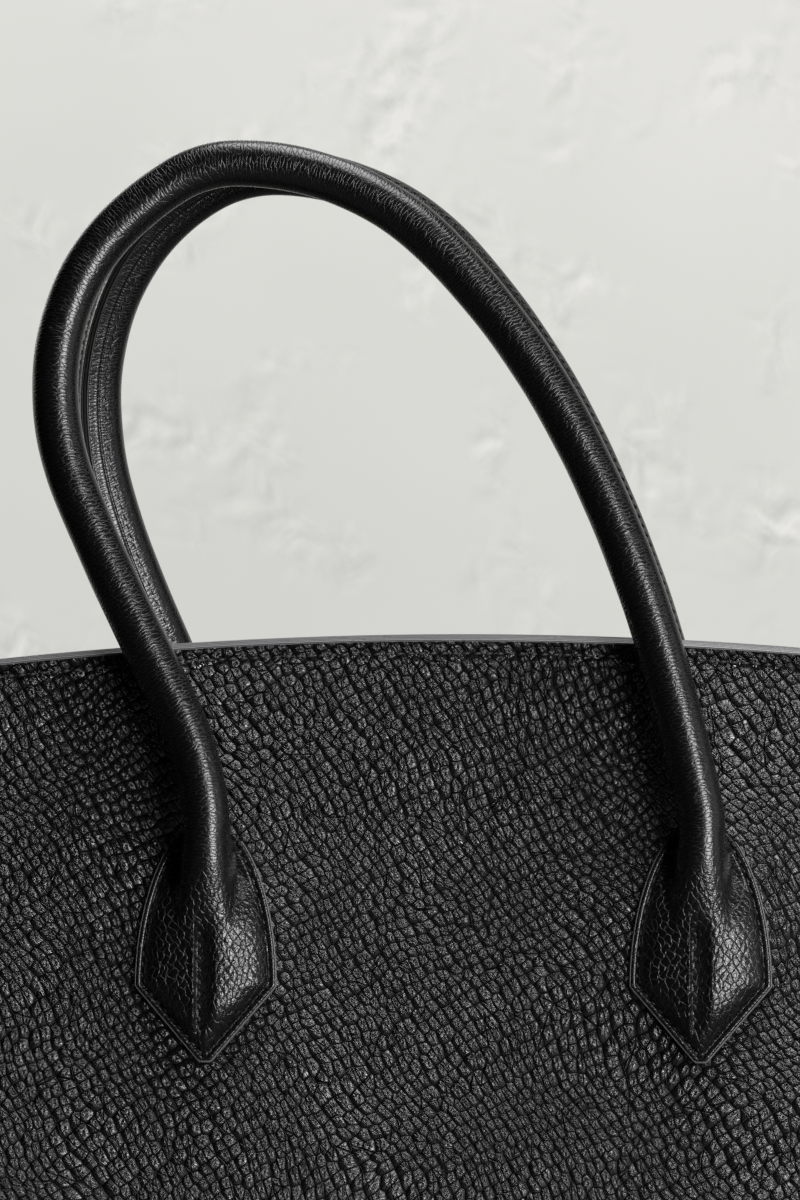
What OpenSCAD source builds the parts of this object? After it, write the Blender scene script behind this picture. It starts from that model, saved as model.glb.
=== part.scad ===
// Top handle bag: a structured leather body with an arched rim, two rolled handles
// and four padded shield tabs.
// X runs across the bag, the front faces -Y and Z points up from the floor.

/* [Body] */
// Width across the base
base_w = 370; // [320:5:420]
// Width across the corners of the rim
rim_w = 340; // [300:5:370]
// Height of the rim's crown above the floor
rim_h = 285; // [250:5:320]
// Depth over the walls at the base
base_d = 160; // [140:5:180]
// Depth over the walls at the rim
rim_d = 62; // [56:2:80]
// Radius of the rim's arch
rim_r = 1250; // [900:50:2000]
// Lean of the upper walls from upright, in degrees
lean = 9.5; // [7:0.5:11]
// Flat length of each wall below the rim, before it bellies out
flat_len = 135; // [128:1:145]
// How far the belly stands proud of the base
belly = 6; // [2:1:10]
// Depth that each side folds in at the rim
fold_depth = 36; // [24:1:40]

/* [Leather and lining] */
// Thickness of the body leather
panel_t = 1.6; // [1.2:0.1:2]
// Thickness of the board that stiffens a wall
stiffener_t = 1.4; // [1:0.1:2]
// Thickness of the leather facing inside the rim
facing_t = 1.2; // [1:0.1:1.6]
// Height of the facing below the rim
facing_h = 48; // [40:1:60]
// Thickness of the side leather
gusset_t = 1.4; // [1:0.1:1.8]
// Thickness of the lining cloth
lining_t = 0.8; // [0.5:0.1:1]
// Thickness of the board in the base
board_t = 2.5; // [2:0.1:4]
// Strip along each side edge that is left for the seam
seam_margin = 9; // [8.5:0.5:14]
// Width of the slip pocket
pocket_w = 150; // [100:5:180]
// Height of the slip pocket
pocket_h = 105; // [80:5:120]
// Distance of the pocket's mouth below the facing
pocket_drop = 18; // [10:1:30]

/* [Handles] */
// Distance between the two tabs of one handle
tab_spacing = 141; // [130:1:160]
// Height of the front handle's centre line above its ends
front_rise = 189; // [150:1:200]
// Height of the back handle's centre line above its ends
back_rise = 188; // [150:1:200]
// Diameter of the rolled handle
tube_d = 13.4; // [12:0.1:15]
// Thickness of the handle leather
cover_t = 1.2; // [1:0.1:1.8]
// How far the handle's seam flange stands out of the roll
flange_w = 2.4; // [2:0.1:4]
// How far below the rim a handle leaves its padded neck
root_drop = 52; // [48:1:58]
// Height of the flexing neck between a tab and its handle
neck_h = 14; // [13:1:18]

/* [Tabs] */
// Width of a tab at its widest
tab_w = 40; // [34:1:44]
// Height of a tab from the neck to its tip
tab_h = 56.6; // [50:0.1:62]
// Height of the point below the tab's widest place
tip_h = 21.6; // [16:0.1:26]
// Thickness of the tab's stitched border
border_t = 2.4; // [1.8:0.1:3]
// Width of the tab's stitched border
border_w = 3.2; // [2.4:0.1:4]
// Height of the padding where the handle flares into the tab
lobe_h = 11.4; // [9:0.1:12]
// Width of the stitched groove between the two lobes
groove_w = 1.6; // [1:0.1:3]

/* [Fittings] */
// Diameter of a foot
foot_d = 12; // [10:0.5:16]
// Height of a foot
foot_h = 6; // [4:0.5:8]
// Diameter of a foot's rivet shank
shank_d = 3; // [2.5:0.1:4]
// Distance of a foot from the edges of the base
foot_inset = 27; // [20:1:40]
// Thickness of a foot's washer
washer_t = 0.8; // [0.6:0.1:1.2]
// Diameter of the magnetic snap
snap_d = 18; // [14:0.5:20]
// Thickness of each half of the snap
snap_t = 2.6; // [2:0.1:4]
// Diameter of the snap's stud
stud_d = 6; // [4:0.5:8]
// How far the snap's centre lies below the rim
snap_drop = 24; // [18:1:30]
// Thickness of the plates that hold the snap
plate_t = 0.8; // [0.6:0.1:1]

/* [Hidden] */
$fn = 96;

// Clearances and overruns
fit_gap = 0.2;
handle_gap = 0.35;
cut_over = 2;

// Colours
leather = "#232225";
edge_leather = "#2e2d30";
cloth = "#5b4a3f";
board = "#8d8678";
metal = "#c9b37a";
foam = "#55504a";

// Levels of the base, from the floor up
base_z = foot_h;
board_z = base_z + panel_t;
base_lining_z = board_z + board_t;
base_top_z = base_lining_z + lining_t;

// A wall's profile: half depth of its outer face against height.
// It is flat down to the knee, then one cubic curve through the belly to the base.
knee = [rim_d / 2 + flat_len * sin(lean), rim_h - flat_len * cos(lean)];
knee_pull_share = 0.36;
belly_pull_share = 0.42;
belly_steps = 12;
knee_pull = knee_pull_share * (knee[1] - base_top_z);
belly_pull = belly_pull_share * (knee[1] - base_top_z);
belly_points = [
  knee,
  knee + knee_pull * [sin(lean), -cos(lean)],
  [base_d / 2 + belly, base_top_z + belly_pull],
  [base_d / 2, base_top_z]
];
function cubic(p, t) =
  pow(1 - t, 3) * p[0] + 3 * t * pow(1 - t, 2) * p[1] + 3 * t * t * (1 - t) * p[2] + pow(t, 3) * p[3];
function wall_profile() = concat(
  [[rim_d / 2 - cut_over * sin(lean), rim_h + cut_over * cos(lean)]],
  [for (i = [0:belly_steps]) cubic(belly_points, i / belly_steps)],
  [[base_d / 2, base_z]]
);
profile = wall_profile();

// Half depth of a wall's outer face at a height
function half_depth(z) = lookup(z, [for (p = profile) [p[1], p[0]]]);

// Half width of the body at a height: upright beside the base, then leaning in to the rim
corner_z = rim_h - (rim_r - sqrt(rim_r * rim_r - rim_w * rim_w / 4));
function half_width(z) =
  lookup(z, [[base_top_z, base_w / 2], [corner_z, rim_w / 2]])
  + min(0, (corner_z - z)) * (base_w - rim_w) / 2 / (corner_z - base_top_z);

// One layer of a wall, between two depths below its outer face
module wall_layer(from_t, to_t) {
  outer = [for (p = profile) [-p[0] + from_t, p[1]]];
  inner = [for (i = [len(profile) - 1:-1:0]) [-profile[i][0] + to_t, profile[i][1]]];
  rotate([90, 0, 90]) linear_extrude(height = base_w + cut_over, center = true)
    polygon(concat(outer, inner));
}

// The body's outline seen from the front, drawn in by a margin at its sides
module front_outline(margin, low_z) {
  top_z = rim_h + cut_over;
  right = [
    [half_width(base_top_z) - margin, low_z],
    [half_width(base_top_z) - margin, base_top_z],
    [half_width(top_z) - margin, top_z]
  ];
  left = [for (i = [2:-1:0]) [-right[i][0], right[i][1]]];
  rotate([90, 0, 0]) linear_extrude(height = base_d + cut_over + belly, center = true)
    polygon(concat(right, left));
}

// Everything under the rim's arch, lowered by a drop
module under_arch(drop) {
  translate([0, 0, rim_h - rim_r]) rotate([90, 0, 0])
    cylinder(r = rim_r - drop, h = base_d + 2 * (cut_over + belly), center = true, $fn = 720);
}

module wall(from_t, to_t, margin, low_z, drop) {
  intersection() {
    wall_layer(from_t, to_t);
    front_outline(margin, low_z);
    under_arch(drop);
  }
}

// Depths of the layers below the outer face
stiffener_in = panel_t + stiffener_t;
lining_in = stiffener_in + lining_t;
facing_in = stiffener_in + facing_t;

// A wall's own frame: X across, Y up the wall from the rim's crown, Z straight out of it
module on_wall() {
  translate([0, -rim_d / 2, rim_h]) rotate([90 - lean, 0, 0]) children();
}
module at_back() {
  mirror([0, 1, 0]) children();
}
// A depth measured level through the wall, as a depth square to it
function square_in(t) = t * cos(lean);

// Tabs. They widen below the neck, then run to a blunt point.

neck_low = root_drop + neck_h;
tab_top = -neck_low;
tab_tip = tab_top - tab_h;
tab_wide = tab_tip + tip_h;
tube_r = tube_d / 2;
flange_dir = -68;
flange_reach = tube_r + flange_w;
tube_w = handle_gap - flange_reach * sin(flange_dir) + cover_t * cos(flange_dir);
tip_share = 0.08;
shoulder_share = 0.46;
shoulder_power = 0.62;
tab_rows = 17;
lobe_columns = 5;

// Half width of the tab at a level: a swelling shoulder, then a straight-sided point
function tab_half(v) = v >= tab_wide
  ? tab_w / 2 * (shoulder_share + (1 - shoulder_share) * pow(sin(90 * (tab_top + border_w - v)
    / (tab_top + border_w - tab_wide)), shoulder_power))
  : tab_w / 2 * (tip_share + (1 - tip_share) * (v - tab_tip) / tip_h);

// Levels of the rows, with one at the widest place and closer rows in the point
point_rows = 5;
function tab_level(i) = i <= tab_rows - point_rows
  ? tab_top + (tab_wide - tab_top) * i / (tab_rows - point_rows)
  : tab_wide + (tab_tip - tab_wide) * (i - tab_rows + point_rows) / point_rows;

// Half width inside the border
inner_share = 0.45;
function inner_half(v) = max(tab_half(v) - border_w, inner_share * tab_half(v));

// Height of the padding along the tab: full at the neck, nothing near the tip
pad_end_share = 0.88;
pad_power = 1.25;
function pad_fall(v) = pow(max(0, 1 - (tab_top - v) / (pad_end_share * tab_h)), pad_power);
// How far the single roll has parted into two lobes
part_share = 0.3;
lobe_power = 0.6;
function parted(v) = min(1, (tab_top - v) / (part_share * tab_h));
function lobe_shape(a, v) =
  let (half = inner_half(v), g = groove_w / 2, q = max(0, min(1, (abs(a) * half - g) / (half - g))))
  parted(v) * pow(sin(180 * q), lobe_power) + (1 - parted(v)) * sqrt(max(0, 1 - a * a));
function pad_height(a, v) = border_t + lobe_h * pad_fall(v) * lobe_shape(a, v);

// Columns across: both edges, and shares of the padded width between them
pad_shares = [for (i = [-lobe_columns:lobe_columns]) i / lobe_columns];
function tab_top_row(v) = concat(
  [[-tab_half(v), v, border_t]],
  [for (a = pad_shares) [a * inner_half(v), v, pad_height(a, v)]],
  [[tab_half(v), v, border_t]]
);
solid_tip_share = 0.3;
function hollow(a, v) = v < tab_tip + solid_tip_share * tip_h || abs(a) == 1
  ? 0 : pad_height(a, v) - cover_t;
function tab_bottom_row(v) = concat(
  [[-tab_half(v), v, 0]],
  [for (a = pad_shares) [a * inner_half(v), v, hollow(a, v)]],
  [[tab_half(v), v, 0]]
);

// A closed solid between two grids of points that share their edges' layout
function flat_list(rows) = [for (row = rows) for (p = row) p];
function grid_faces(rows, cols) = let (n = rows * cols) concat(
  [for (r = [0:rows - 2], c = [0:cols - 2], k = [0, 1])
    let (a = r * cols + c, b = a + 1, d = a + cols, e = d + 1) k == 0 ? [a, b, e] : [a, e, d]],
  [for (r = [0:rows - 2], c = [0:cols - 2], k = [0, 1])
    let (a = n + r * cols + c, b = a + 1, d = a + cols, e = d + 1) k == 0 ? [a, e, b] : [a, d, e]],
  [for (r = [0:rows - 2], k = [0, 1]) let (a = r * cols, d = a + cols)
    k == 0 ? [a, d, n + d] : [a, n + d, n + a]],
  [for (r = [0:rows - 2], k = [0, 1]) let (a = r * cols + cols - 1, d = a + cols)
    k == 0 ? [a, n + d, d] : [a, n + a, n + d]],
  [for (c = [0:cols - 2], k = [0, 1]) let (a = c, b = c + 1)
    k == 0 ? [a, n + b, b] : [a, n + a, n + b]],
  [for (c = [0:cols - 2], k = [0, 1]) let (a = (rows - 1) * cols + c, b = a + 1)
    k == 0 ? [a, b, n + b] : [a, n + b, n + a]]
);
module between_grids(upper, lower) {
  polyhedron(
    points = concat(flat_list(upper), flat_list(lower)),
    faces = grid_faces(len(upper), len(upper[0])),
    convexity = 6
  );
}

module at_tab(side) {
  on_wall() translate([side * tab_spacing / 2, 0, 0]) children();
}

module tab(side) {
  levels = [for (i = [0:tab_rows]) tab_level(i)];
  color(leather) at_tab(side) between_grids(
    [for (v = levels) tab_top_row(v)],
    [for (v = levels) tab_bottom_row(v)]
  );
}

// Padding under the tab's skin, one column inside the skin's own hollow
filler_shares = [for (i = [1 - lobe_columns:lobe_columns - 1]) i / lobe_columns];
module filler(side) {
  levels = [for (i = [0:tab_rows]) if (hollow(0, tab_level(i)) > 0) tab_level(i)];
  color(foam) at_tab(side) between_grids(
    [for (v = levels) [for (a = filler_shares) [a * inner_half(v), v, hollow(a, v) - fit_gap]]],
    [for (v = levels) [for (a = filler_shares) [a * inner_half(v), v, 0]]]
  );
}

// Flat outline of the tab, drawn in by a margin
function tab_outline(margin) = concat(
  [for (i = [0:tab_rows]) let (v = tab_level(i) - margin) if (tab_half(v) > margin && v > tab_tip + margin)
    [tab_half(v) - margin, v]],
  [for (i = [tab_rows:-1:0]) let (v = tab_level(i) - margin) if (tab_half(v) > margin && v > tab_tip + margin)
    [margin - tab_half(v), v]]
);

// The stiffener's window behind a tab, and the patch that fills it
module backer(side) {
  color(board) at_tab(side) translate([0, 0, -square_in(stiffener_in)])
    linear_extrude(height = square_in(stiffener_t)) polygon(tab_outline(border_w + fit_gap));
}
module backer_window(side) {
  at_tab(side) translate([0, 0, -square_in(stiffener_in) - cut_over])
    linear_extrude(height = square_in(stiffener_t) + 2 * cut_over) polygon(tab_outline(border_w));
}

// Handles

// Each handle's centre line passes through seven places, given as shares of the tab
// spacing and of the handle's rise, with the direction it takes there in degrees.
front_place_shares = [
  [-0.5, 0], [-0.674, 0.328], [-0.816, 0.659], [-0.685, 0.907], [-0.45, 1], [0.24, 0.582], [0.5, 0]
];
front_headings = [96, 115.5, 90, 45, 0, -63, -79];
back_place_shares = [
  [-0.5, 0], [-0.659, 0.33], [-0.758, 0.638], [-0.613, 0.92], [-0.385, 1], [0.235, 0.606], [0.5, 0]
];
back_headings = [100, 112, 90, 45, 0, -63.5, -79];
function handle_keys(places, headings, rise) = [
  for (i = [0:len(places) - 1])
    [places[i][0] * tab_spacing, places[i][1] * rise - root_drop, headings[i]]
];
front_keys = handle_keys(front_place_shares, front_headings, front_rise);
back_keys = handle_keys(back_place_shares, back_headings, back_rise);

// Two arcs that join two places smoothly, each as its centre, radius and angles
function dir(a) = [cos(a), sin(a)];
function left_of(v) = [-v[1], v[0]];
function turn(a) = a - 360 * floor((a + 180) / 360);
function arc_of(p, heading, q) =
  let (
    v = q - p,
    r = (v * v) / (2 * v * left_of(dir(heading))),
    centre = p + r * left_of(dir(heading)),
    sweep = 2 * turn(atan2(v[1], v[0]) - heading),
    start = heading - sign(r) * 90
  ) [centre, r, start, sweep];
function biarc(k0, k1) =
  let (
    p = [k0[0], k0[1]],
    q = [k1[0], k1[1]],
    t0 = dir(k0[2]),
    t1 = dir(k1[2]),
    v = q - p,
    t = t0 + t1,
    k = 2 * (1 - t0 * t1),
    d = (sqrt((v * t) * (v * t) + k * (v * v)) - v * t) / k,
    joint = (p + d * t0 + q - d * t1) / 2,
    first = arc_of(p, k0[2], joint)
  ) [first, arc_of(joint, k0[2] + first[3], q)];
function handle_arcs(keys) = [for (i = [0:len(keys) - 2]) each biarc(keys[i], keys[i + 1])];

// Stations along a handle: place and heading, a fixed turn apart at most
station_turn = 9;
function arc_stations(arc) =
  let (n = ceil(abs(arc[3]) / station_turn)) [for (i = [1:n]) let (a = arc[2] + arc[3] * i / n)
    [each (arc[0] + abs(arc[1]) * dir(a)), a + sign(arc[1]) * 90]];
function handle_stations(keys) = [keys[0], for (arc = handle_arcs(keys)) each arc_stations(arc)];

// A section's points at one station: its X points out of the loop, its Y out of the wall
function section_at(station, section) = let (out = left_of(dir(station[2]))) [
  for (p = section) [station[0] + p[0] * out[0], station[1] + p[0] * out[1], tube_w + p[1]]
];

// Leather wrapped round the core. Its two sides leave the roll at a tangent and meet in
// a stitched flange that points inwards to the other handle and a little out of the loop.
round_sides = 12;
corner_angle = atan(cover_t / flange_reach);
leave_angle = corner_angle + acos(tube_r / norm([flange_reach, cover_t]));
round_step = (360 - 2 * leave_angle) / round_sides;
function in_flange(x, y) = x * dir(flange_dir) + y * left_of(dir(flange_dir));
cover_outer = concat(
  [in_flange(flange_reach, -cover_t), in_flange(flange_reach, cover_t)],
  [for (i = [0:round_sides]) tube_r * dir(flange_dir + leave_angle + i * round_step)]
);
bore_step = 360 / len(cover_outer);
cover_bore = [for (i = [1:len(cover_outer)])
  (tube_r - cover_t) * dir(flange_dir + (2 * i - 3) * bore_step / 2)];

// Side faces between rings of points, seen from outside when the rings run anticlockwise
function ring_faces(rings, sides, first, flip) = [
  for (r = [0:rings - 2], i = [0:sides - 1], k = [0, 1])
    let (
      a = first + r * sides + i,
      b = first + r * sides + (i + 1) % sides,
      face = k == 0 ? [a, b, b + sides] : [a, b + sides, a + sides]
    ) flip ? [face[0], face[2], face[1]] : face
];
module handle_cover(keys) {
  stations = handle_stations(keys);
  sides = len(cover_outer);
  rings = len(stations);
  n = rings * sides;
  last = n - sides;
  color(leather) on_wall() polyhedron(
    points = concat(
      flat_list([for (s = stations) section_at(s, cover_outer)]),
      flat_list([for (s = stations) section_at(s, cover_bore)])
    ),
    faces = concat(
      ring_faces(rings, sides, 0, false),
      ring_faces(rings, sides, n, true),
      [for (i = [0:sides - 1], k = [0, 1]) let (j = (i + 1) % sides)
        k == 0 ? [i, n + i, n + j] : [i, n + j, j]],
      [for (i = [0:sides - 1], k = [0, 1]) let (j = (i + 1) % sides)
        k == 0 ? [last + i, last + j, n + last + j] : [last + i, n + last + j, n + last + i]]
    ),
    convexity = 8
  );
}

// A plain run of rings, closed by a flat face at each end
module ring_solid(rings) {
  sides = len(rings[0]);
  last = (len(rings) - 1) * sides;
  polyhedron(
    points = flat_list(rings),
    faces = concat(
      ring_faces(len(rings), sides, 0, false),
      [[for (i = [sides - 1:-1:0]) i]],
      [[for (i = [0:sides - 1]) last + i]]
    ),
    convexity = 8
  );
}
core_sides = 9;
core_r = (tube_r - cover_t) * cos(bore_step / 2) - fit_gap;
core_section = [for (i = [0:core_sides - 1]) core_r * dir(360 * i / core_sides)];
module handle_core(keys) {
  color(foam) on_wall() ring_solid([for (s = handle_stations(keys)) section_at(s, core_section)]);
}

// Flexing neck: an oval that stands on the tab and rounds off into the handle
neck_rings = 5;
neck_sides = 20;
neck_half_share = 0.62;
neck_low_r = (border_t + lobe_h - handle_gap) / 2;
function blend(a, b, t) = a + (b - a) * t;
function neck_ring(root, lean_in, t) =
  let (
    s = t * t * (3 - 2 * t),
    half = blend(tab_half(tab_top) * neck_half_share + border_w / 2, tube_r, s),
    high = blend(neck_low_r, tube_r, s),
    at = [blend(0, root[0], s), blend(tab_top, root[1], t), blend(handle_gap + neck_low_r, tube_w, s)],
    tilt = lean_in * s
  ) [for (i = [0:neck_sides - 1]) let (a = 360 * i / neck_sides)
    at + [half * cos(a) * cos(tilt), half * cos(a) * sin(tilt), high * sin(a)]];
module neck(side, key) {
  root = [key[0] - side * tab_spacing / 2, key[1]] + side * fit_gap * dir(key[2]);
  tilt = side < 0 ? key[2] - 90 : key[2] + 90;
  color(leather) at_tab(side)
    ring_solid([for (i = [0:neck_rings]) neck_ring(root, tilt, i / neck_rings)]);
}

// Sides

// The side folds in as a soft V that deepens towards the rim
side_columns = 8;
side_top_steps = 6;
fold_power = 2;
crease_share = 0.12;
side_top_z = corner_z - fit_gap - panel_t;
side_levels = concat(
  [base_z],
  [for (i = [belly_steps:-1:1]) profile[i + 1][1]],
  [for (i = [0:side_top_steps]) blend(knee[1], side_top_z, i / side_top_steps)]
);
function fold_share(t) = 1 - (sqrt(t * t + crease_share * crease_share) - crease_share)
  / (sqrt(1 + crease_share * crease_share) - crease_share);
function fold_at(z) = fold_depth * pow(max(0, z - base_top_z) / (side_top_z - base_top_z), fold_power);
function side_row(z, in_t) = [
  for (i = [0:side_columns]) let (t = 2 * i / side_columns - 1)
    [half_width(z) - in_t - fold_at(z) * fold_share(t), t * (half_depth(z) - panel_t), z]
];
module side_layer(from_t, to_t, levels) {
  between_grids([for (z = levels) side_row(z, to_t)], [for (z = levels) side_row(z, from_t)]);
}
module right_side(from_t, to_t, low_z) {
  levels = concat([low_z], [for (z = side_levels) if (z > low_z) z]);
  side_layer(from_t, to_t, levels);
}
module left_side(from_t, to_t, low_z) {
  mirror([1, 0, 0]) right_side(from_t, to_t, low_z);
}

// Walls, outside in

module front_panel() {
  color(leather) wall(0, panel_t, 0, base_z, 0);
}
module back_panel() {
  color(leather) at_back() wall(0, panel_t, 0, base_z, 0);
}
module left_gusset() {
  color(leather) left_side(0, gusset_t, base_z);
}
module right_gusset() {
  color(leather) right_side(0, gusset_t, base_z);
}
module stiffener() {
  difference() {
    wall(panel_t, stiffener_in, seam_margin, board_z, 0);
    for (side = [-1, 1]) backer_window(side);
    at_snap() translate([0, 0, -cut_over]) cylinder(d = snap_d, h = plate_t + cut_over);
  }
}
module front_stiffener() {
  color(board) stiffener();
}
module back_stiffener() {
  color(board) at_back() stiffener();
}
module facing() {
  difference() {
    wall(stiffener_in, facing_in, seam_margin, board_z, 0);
    under_arch(facing_h);
    for (side = [-1, 1]) at_snap() prong(side, fit_gap);
  }
}
module front_facing() {
  color(edge_leather) facing();
}
module back_facing() {
  color(edge_leather) at_back() facing();
}
module front_lining() {
  color(cloth) wall(stiffener_in, lining_in, seam_margin, base_lining_z, facing_h);
}
module back_lining() {
  color(cloth) at_back() wall(stiffener_in, lining_in, seam_margin, base_lining_z, facing_h);
}
module left_lining() {
  color(cloth) left_side(gusset_t, gusset_t + lining_t, board_z);
}
module right_lining() {
  color(cloth) right_side(gusset_t, gusset_t + lining_t, board_z);
}
pocket_top = rim_h - facing_h - pocket_drop;
module slip_pocket() {
  color(cloth) at_back() intersection() {
    wall_layer(lining_in, lining_in + lining_t);
    translate([-pocket_w / 2, -base_d, pocket_top - pocket_h]) cube([pocket_w, base_d, pocket_h]);
  }
}

// Base

foot_x = base_w / 2 - foot_inset;
foot_y = base_d / 2 - foot_inset;
module at_feet() {
  for (x = [-foot_x, foot_x], y = [-foot_y, foot_y]) translate([x, y, 0]) children();
}
module base_sheet(y_in, x_in, low_z, t) {
  translate([x_in - base_w / 2, y_in - base_d / 2, low_z])
    cube([base_w - 2 * x_in, base_d - 2 * y_in, t]);
}
washer_d = foot_d;
washer_z = base_lining_z - washer_t;
module base_panel() {
  color(leather) difference() {
    base_sheet(panel_t, gusset_t, base_z, panel_t);
    at_feet() translate([0, 0, base_z - cut_over])
      cylinder(d = shank_d + fit_gap, h = panel_t + 2 * cut_over);
  }
}
module base_board() {
  color(board) difference() {
    base_sheet(stiffener_in, gusset_t + lining_t, board_z, board_t);
    at_feet() translate([0, 0, board_z - cut_over])
      cylinder(d = shank_d + fit_gap, h = board_t + 2 * cut_over);
    at_feet() translate([0, 0, washer_z]) cylinder(d = washer_d + 2 * fit_gap, h = washer_t + cut_over);
  }
}
module base_lining() {
  color(cloth) base_sheet(lining_in, gusset_t + lining_t, base_lining_z, lining_t);
}

// A foot is a turned stud: a flat tread, a rounded side and a rivet shank
tread_share = 0.62;
foot_arc_steps = 10;
module foot() {
  tread = tread_share * foot_d / 2;
  round_r = foot_d / 2 - tread;
  rotate_extrude() polygon(concat(
    [[0, 0], [tread, 0]],
    [for (i = [1:foot_arc_steps]) let (a = 90 * i / foot_arc_steps)
      [tread + round_r * sin(a), round_r * (1 - cos(a))]],
    [[foot_d / 2, foot_h], [shank_d / 2, foot_h], [shank_d / 2, base_lining_z], [0, base_lining_z]]
  ));
}
module feet() {
  color(metal) at_feet() foot();
}
module foot_washers() {
  color(metal) at_feet() translate([0, 0, washer_z]) difference() {
    cylinder(d = washer_d, h = washer_t);
    translate([0, 0, -cut_over]) cylinder(d = shank_d + fit_gap, h = washer_t + 2 * cut_over);
  }
}

// Magnetic snap. In its frame Z points out through the wall, and 0 is the stiffener's inner face.
prong_w = stud_d;
prong_t = plate_t;
module at_snap() {
  on_wall() translate([0, -snap_drop, -square_in(stiffener_in)]) children();
}
snap_face = -square_in(facing_t);
module prong(side, gap) {
  translate([side * snap_d / 4 - prong_t / 2 - gap, -prong_w / 2 - gap, snap_face - gap])
    cube([prong_t + 2 * gap, prong_w + 2 * gap, gap - snap_face + (gap > 0 ? cut_over : 0)]);
}
module snap_half() {
  translate([0, 0, snap_face - snap_t]) cylinder(d = snap_d, h = snap_t);
  for (side = [-1, 1]) prong(side, 0);
}
module snap_stud() {
  color(metal) at_snap() {
    snap_half();
    translate([0, 0, snap_face - snap_t - stud_d / 4]) cylinder(d = stud_d, h = stud_d / 4);
  }
}
module snap_socket() {
  color(metal) at_back() at_snap() difference() {
    snap_half();
    translate([0, 0, snap_face - snap_t - cut_over])
      cylinder(d = stud_d + 2 * fit_gap, h = stud_d / 4 + fit_gap + cut_over);
  }
}
module snap_plate() {
  cylinder(d = snap_d - 2 * fit_gap, h = plate_t);
}
module snap_stud_plate() {
  color(metal) at_snap() snap_plate();
}
module snap_socket_plate() {
  color(metal) at_back() at_snap() snap_plate();
}

module front_left_tab() { tab(-1); }
module front_right_tab() { tab(1); }
module back_left_tab() { at_back() tab(-1); }
module back_right_tab() { at_back() tab(1); }
module front_left_filler() { filler(-1); }
module front_right_filler() { filler(1); }
module back_left_filler() { at_back() filler(-1); }
module back_right_filler() { at_back() filler(1); }
module front_left_backer() { backer(-1); }
module front_right_backer() { backer(1); }
module back_left_backer() { at_back() backer(-1); }
module back_right_backer() { at_back() backer(1); }
module front_left_neck() { neck(-1, front_keys[0]); }
module front_right_neck() { neck(1, front_keys[len(front_keys) - 1]); }
module back_left_neck() { at_back() neck(-1, back_keys[0]); }
module back_right_neck() { at_back() neck(1, back_keys[len(back_keys) - 1]); }
module front_handle_cover() { handle_cover(front_keys); }
module front_handle_core() { handle_core(front_keys); }
module back_handle_cover() { at_back() handle_cover(back_keys); }
module back_handle_core() { at_back() handle_core(back_keys); }

front_panel();
back_panel();
left_gusset();
right_gusset();
base_panel();
front_stiffener();
back_stiffener();
base_board();
front_facing();
back_facing();
front_lining();
back_lining();
left_lining();
right_lining();
base_lining();
slip_pocket();
feet();
foot_washers();
snap_stud();
snap_socket();
snap_stud_plate();
snap_socket_plate();
front_left_tab();
front_right_tab();
back_left_tab();
back_right_tab();
front_left_filler();
front_right_filler();
back_left_filler();
back_right_filler();
front_left_backer();
front_right_backer();
back_left_backer();
back_right_backer();
front_left_neck();
front_right_neck();
back_left_neck();
back_right_neck();
front_handle_cover();
front_handle_core();
back_handle_cover();
back_handle_core();
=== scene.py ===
"""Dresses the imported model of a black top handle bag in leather, thread, edge paint and metal.

Sizes are in millimetres until a mesh is made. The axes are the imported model's: X runs across the bag,
the front faces -Y and Z points up from the floor. A wall also has its own frame: across, up the wall
from the rim's crown, and straight out of it.
"""
import logging
import math
from dataclasses import dataclass, field
from enum import Enum

import bpy
import numpy as np
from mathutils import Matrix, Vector


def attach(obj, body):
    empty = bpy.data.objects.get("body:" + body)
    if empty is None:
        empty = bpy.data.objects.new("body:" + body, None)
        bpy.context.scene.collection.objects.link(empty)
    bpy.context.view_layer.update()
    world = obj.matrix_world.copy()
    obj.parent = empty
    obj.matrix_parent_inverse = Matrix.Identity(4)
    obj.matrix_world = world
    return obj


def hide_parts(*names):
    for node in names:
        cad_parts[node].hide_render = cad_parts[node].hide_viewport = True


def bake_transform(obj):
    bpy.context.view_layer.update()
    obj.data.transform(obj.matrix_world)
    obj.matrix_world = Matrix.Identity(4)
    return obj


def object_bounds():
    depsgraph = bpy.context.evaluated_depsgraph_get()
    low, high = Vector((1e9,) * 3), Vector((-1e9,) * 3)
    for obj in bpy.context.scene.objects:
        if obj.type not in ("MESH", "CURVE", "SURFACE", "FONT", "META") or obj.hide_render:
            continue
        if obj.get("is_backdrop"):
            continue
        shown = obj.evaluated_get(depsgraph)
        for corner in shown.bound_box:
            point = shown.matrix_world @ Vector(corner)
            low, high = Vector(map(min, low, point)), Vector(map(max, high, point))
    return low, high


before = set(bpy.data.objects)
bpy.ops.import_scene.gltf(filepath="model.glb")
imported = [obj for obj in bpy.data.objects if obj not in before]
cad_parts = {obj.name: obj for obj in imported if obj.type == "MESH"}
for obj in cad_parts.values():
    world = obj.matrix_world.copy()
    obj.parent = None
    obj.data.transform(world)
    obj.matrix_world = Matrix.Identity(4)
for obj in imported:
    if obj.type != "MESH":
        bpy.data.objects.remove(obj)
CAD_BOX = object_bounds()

LOG = logging.getLogger("bag")
MM = 0.001
Array = np.ndarray
Tree = bpy.types.NodeTree
Socket = bpy.types.NodeSocket
Piece = bpy.types.Object

# Settings that many nodes share: a smooth step, a mix of colours, a flat noise and the way to a cell's edge.
STEP = {"interpolation_type": "SMOOTHSTEP"}
TINTS = {"out": 2, "data_type": "RGBA"}
FLAT = {"noise_dimensions": "2D"}
EDGES = {"feature": "DISTANCE_TO_EDGE", "voronoi_dimensions": "2D"}


class Named(Enum):
    """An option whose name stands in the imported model's names."""

    @property
    def word(self) -> str:
        """The option's name there."""
        return self.name.lower()


class Face(Named):
    """The two walls, by the sign that their Y has beside the front wall's."""

    FRONT = 1
    BACK = -1


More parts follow.
